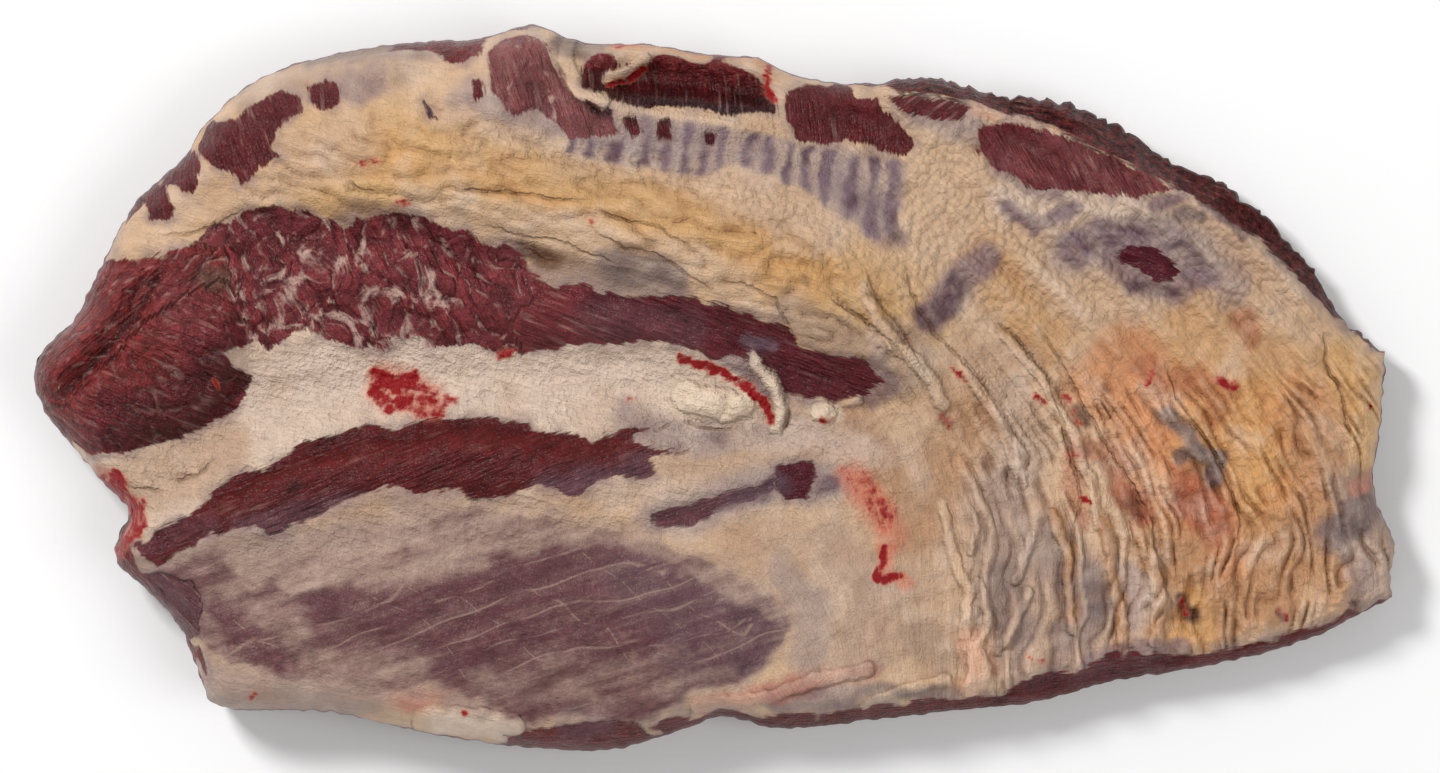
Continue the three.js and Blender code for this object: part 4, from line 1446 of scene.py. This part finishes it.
def lean_looks(s, grain, fibres, mottle, speckle):
    """Colour and relief in millimetres of bare muscle."""
    chunky, seams = s.attribute("chunky"), s.attribute("seams")
    bundle = s.attribute("bundle", "Vector")
    from_middle, own = s.cells(bundle)
    bulge = s.times(chunky, s.step(from_middle, 0.1, 0.75, 1.0, 0.0))
    gaps = s.times(chunky, s.step(s.cell_edges(bundle), 0.0, 0.16, 1.0, 0.0))
    # Brightness: fibres, mottle and a tone for each bundle, with a painted highlight on the bundles'
    # rounded middles and painted shade in the gaps between them.
    shade = s.plus(
        0.58, s.swing(fibres, s.between(chunky, 0.8, 0.3)), s.times(0.6, mottle),
        s.times(0.35, bulge), s.times(-0.1, gaps), s.swing(own, s.times(0.35, chunky)),
        s.times(-0.14, chunky),
    )
    shade = s.between(s.step(s.attribute("silver"), -2.0, 3.0, 0.0, 0.75), shade, 0.9)
    colour = s.brightened(s.attribute("lean_tint", "Color"), s.largest(shade, 0.2))

    blotches = s.noise(s.counted(bundle, *BLOTCH), detail=3.0, roughness=0.55)
    amount = s.plus(blotches, s.times(0.25, from_middle), s.times(0.3, seams))
    marbling = s.times(s.step(amount, 0.82, 1.12), s.step(seams, 0.05, 0.3), 0.85)
    pale_gaps = s.times(gaps, s.step(blotches, 0.5, 0.65), 0.4)
    streaks = s.step(s.noise(s.counted(grain, *STREAK)), 0.54, 0.76, 0.0, 0.3)
    streaks = s.times(streaks, s.step(seams, 0.0, 0.12), s.plus(1.0, s.times(-1.0, chunky)))
    flecks = s.times(s.step(speckle, 0.68, 0.8), 0.15)
    pale = s.largest(marbling, flecks, pale_gaps, streaks)
    colour = s.mix(pale, colour, rgba("marbling"))

    crumbly = s.attribute("crumbly")
    crumbs = s.step(mottle, 0.3, 0.72, 0.5, 1.5)
    colour = s.brightened(colour, s.between(crumbly, 1.0, crumbs))
    relief = s.plus(
        -0.9, s.times(1.3, fibres), s.times(1.2, bulge), s.times(-0.35, gaps), s.times(0.5, marbling),
        s.times(mottle, s.plus(1.1, s.times(2.2, crumbly))),
    )
    return colour, s.between(s.attribute("within"), 0.6, relief)


def fat_looks(s, at, drawn, mottle):
    """Colour and relief in millimetres of fat."""
    creased, grainy, flaky = [s.attribute(name) for name in ("creased", "grainy", "flaky")]
    strand, merged = s.attribute("strand"), s.attribute("merged")
    from_crease = s.math("SQRT", s.plus(s.times(strand, strand), s.times(merged, merged)))
    pillows = s.times(creased, s.step(from_crease, 0.0, 0.9))
    folds = s.times(creased, s.step(from_crease, 0.0, 0.2, 1.0, 0.0))
    winding = s.plus(s.attribute("beside"), s.swing(mottle, 1.6))
    crease = s.times(s.attribute("crease"), s.near_zero(winding, 1.1))
    pearl, _ = s.cells(s.counted(at, PEARL, PEARL))
    pearly = s.times(grainy, s.plus(0.07, s.times(-0.15, pearl)))
    streaky = s.swing(drawn, s.plus(0.14, s.times(0.1, flaky)))
    # Brightness: mottled and streaky tone, with painted shade at the edges of the granules and a
    # painted highlight on the tops of the pillows.
    shade = s.plus(0.83, s.times(0.18, mottle), streaky, pearly, s.times(0.08, pillows))
    colour = s.brightened(s.attribute("fat_tint", "Color"), shade)

    fissures = s.near_zero(s.plus(drawn, -0.5), 0.03)
    fissures = s.times(fissures, s.plus(0.1, s.times(0.08, creased)))
    hollow_shade = s.times(0.2, s.attribute("hollow_shade"))
    # Mixed towards the crease brown: fine fissure lines, and painted shade in the creases of the
    # folds, in long creases and in hollows.
    dark = s.plus(fissures, s.times(0.1, folds), s.times(0.36, crease), hollow_shade)
    colour = s.mix(dark, colour, rgba("crease"))
    in_lobe = s.plus(s.attribute("in_lobe"), s.swing(mottle, 0.8))
    lobe = s.step(in_lobe, -0.8, 1.0)
    # A painted shadow just outside the loose lobes; the lobes themselves are a little paler.
    lobe_shadow = s.step(in_lobe, -0.4, -2.2, 0.93, 1.0)
    colour = s.brightened(colour, s.plus(lobe_shadow, s.times(0.12, lobe)))
    # A painted highlight on crests, mixed towards white fat.
    colour = s.mix(s.times(0.25, s.attribute("crest")), colour, rgba("white fat"))
    relief = s.plus(
        s.times(mottle, s.plus(0.9, s.times(1.2, flaky))),
        s.times(drawn, s.plus(0.5, s.times(0.6, flaky))),
        pillows, s.times(-0.2, folds),
        s.times(-1.1, crease), s.times(-0.8, fissures), s.times(1.2, lobe),
        s.times(-1.3, pearl, s.plus(grainy, 0.1)),
    )
    return colour, relief


def skin_looks(s, grain, muscle_colour, fat_colour, mottle, speckle):
    """Muscle under silver skin: a thin pale web of threads and cloudy streaks over it."""
    streaks = s.noise(s.counted(grain, *SKIN_STREAK), detail=3.0, roughness=0.65)
    amount = s.plus(s.attribute("veil"), s.swing(streaks, 0.9), s.swing(mottle, 0.25))
    cover = s.step(amount, -0.15, 1.2)
    along = s.near_zero(s.attribute("threads"), 0.3, 0.5)
    crossing = s.near_zero(s.attribute("cross_threads"), 0.1, 0.5)
    threads = s.times(s.largest(along, crossing), s.step(streaks, 0.4, 0.6))
    specks = s.times(s.step(speckle, 0.62, 0.76), s.step(streaks, 0.4, 0.65), 0.3)
    return s.mix(s.largest(threads, specks, cover), muscle_colour, fat_colour)


def meat_material():
    material = bpy.data.materials.new("raw_beef")
    s = Shader(material)
    at, grain, flow = [s.attribute(name, "Vector") for name in ("at", "grain", "flow")]
    mottle = s.noise(at, MOTTLE, detail=3.0, roughness=0.55)
    speckle = s.noise(at, SPECKLE)
    fibres = s.noise(s.counted(grain, *FIBRE), detail=2.0, roughness=0.55)
    lean_colour, lean_relief = lean_looks(s, grain, fibres, mottle, speckle)
    drawn = s.noise(s.counted(flow, *DRAWN), detail=2.0, roughness=0.55)
    fat_colour, fat_relief = fat_looks(s, at, drawn, mottle)
    skin_colour = skin_looks(s, grain, lean_colour, fat_colour, mottle, speckle)

    frayed = s.plus(s.swing(fibres, s.attribute("fraying")), s.swing(mottle, 1.5))
    is_lean = s.step(s.plus(s.attribute("bare"), frayed), -0.6, 0.7)
    colour = s.mix(s.step(s.attribute("silver"), -3.0, 3.0), fat_colour, skin_colour)
    colour = s.mix(is_lean, colour, lean_colour)
    ragged_edge = s.plus(s.swing(drawn, 0.7), s.swing(mottle, 0.8))
    blood = s.attribute("blood")
    blood = s.plus(blood, s.times(s.step(blood, 0.0, 0.2), ragged_edge))
    colour = s.mix(s.step(blood, 0.0, 0.6, 0.0, 0.4), colour, rgba("salmon"))
    colour = s.mix(s.step(blood, 0.3, 0.85), colour, rgba("blood"))

    height = s.plus(s.between(is_lean, fat_relief, lean_relief), s.times(0.35, speckle))
    bump = s.node("ShaderNodeBump", {"Height": height, "Distance": MM, "Strength": 1.0})
    s.surface({
        "Base Color": colour,
        "Roughness": s.plus(s.between(is_lean, FAT_ROUGHNESS, LEAN_ROUGHNESS), s.swing(speckle, 0.35)),
        "Normal": bump.outputs[0],
        "Specular IOR Level": 0.2,
    })
    return material


# ---------------------------------------------------------------- stage, light and camera
def make_floor():
    corners = [(-1, -1), (1, -1), (1, 1), (-1, 1)]
    mesh = bpy.data.meshes.new("floor")
    mesh.from_pydata([(FLOOR_HALF * x, FLOOR_HALF * y, 0) for x, y in corners], [], [(0, 1, 2, 3)])
    material = bpy.data.materials.new("pale_floor")
    s = Shader(material)
    places = s.node("ShaderNodeTexCoord", {}).outputs["Object"]
    s.surface({"Base Color": s.mix(s.noise(places, 0.1), *FLOOR_GREYS), "Roughness": 0.9})
    mesh.materials.append(material)
    return placed("floor", mesh)


def add_light(name, place, size, power):
    """A square area light that looks at the middle of the meat."""
    light = bpy.data.lights.new(name, "AREA")
    light.size = size
    light.energy = power
    lamp = placed(name, light)
    lamp.location = place
    lamp.rotation_euler = (-Vector(place)).to_track_quat("-Z", "Y").to_euler()


def light_scene():
    """A white room with a dimmer ceiling, which keeps the gloss of what lies level low."""
    world = bpy.data.worlds.new("soft_white")
    s = Shader(world)
    direction = s.node("ShaderNodeTexCoord", {}).outputs["Generated"]
    height = s.node("ShaderNodeSeparateXYZ", {0: direction}).outputs["Z"]
    strength = s.step(height, CEILING_FROM, CEILING_FULL, WALL_STRENGTH, CEILING_STRENGTH)
    white = s.node("ShaderNodeBackground", {"Color": (1, 1, 1, 1), "Strength": strength})
    s.node("ShaderNodeOutputWorld", {"Surface": white.outputs[0]})
    bpy.context.scene.world = world
    add_light("key", place=(-1.3, 1.2, 2.0), size=0.6, power=51)
    add_light("fill", place=(1.5, -0.6, 2.2), size=1.6, power=20)
    bpy.context.scene.view_settings.view_transform = "Standard"


def add_camera():
    camera = bpy.data.cameras.new("camera")
    camera.lens = CAMERA_LENS
    camera.sensor_width = CAMERA_SENSOR
    camera.clip_end = CAMERA_CLIP
    holder = placed("camera", camera)
    distance = FRAME_WIDTH * CAMERA_LENS / CAMERA_SENSOR
    holder.location = (*FRAME_MIDDLE, FRAME_HEIGHT + distance)
    bpy.context.scene.camera = holder


meat = make_brisket()
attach(meat, "root")
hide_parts("brisket")
make_floor()
light_scene()
add_camera()
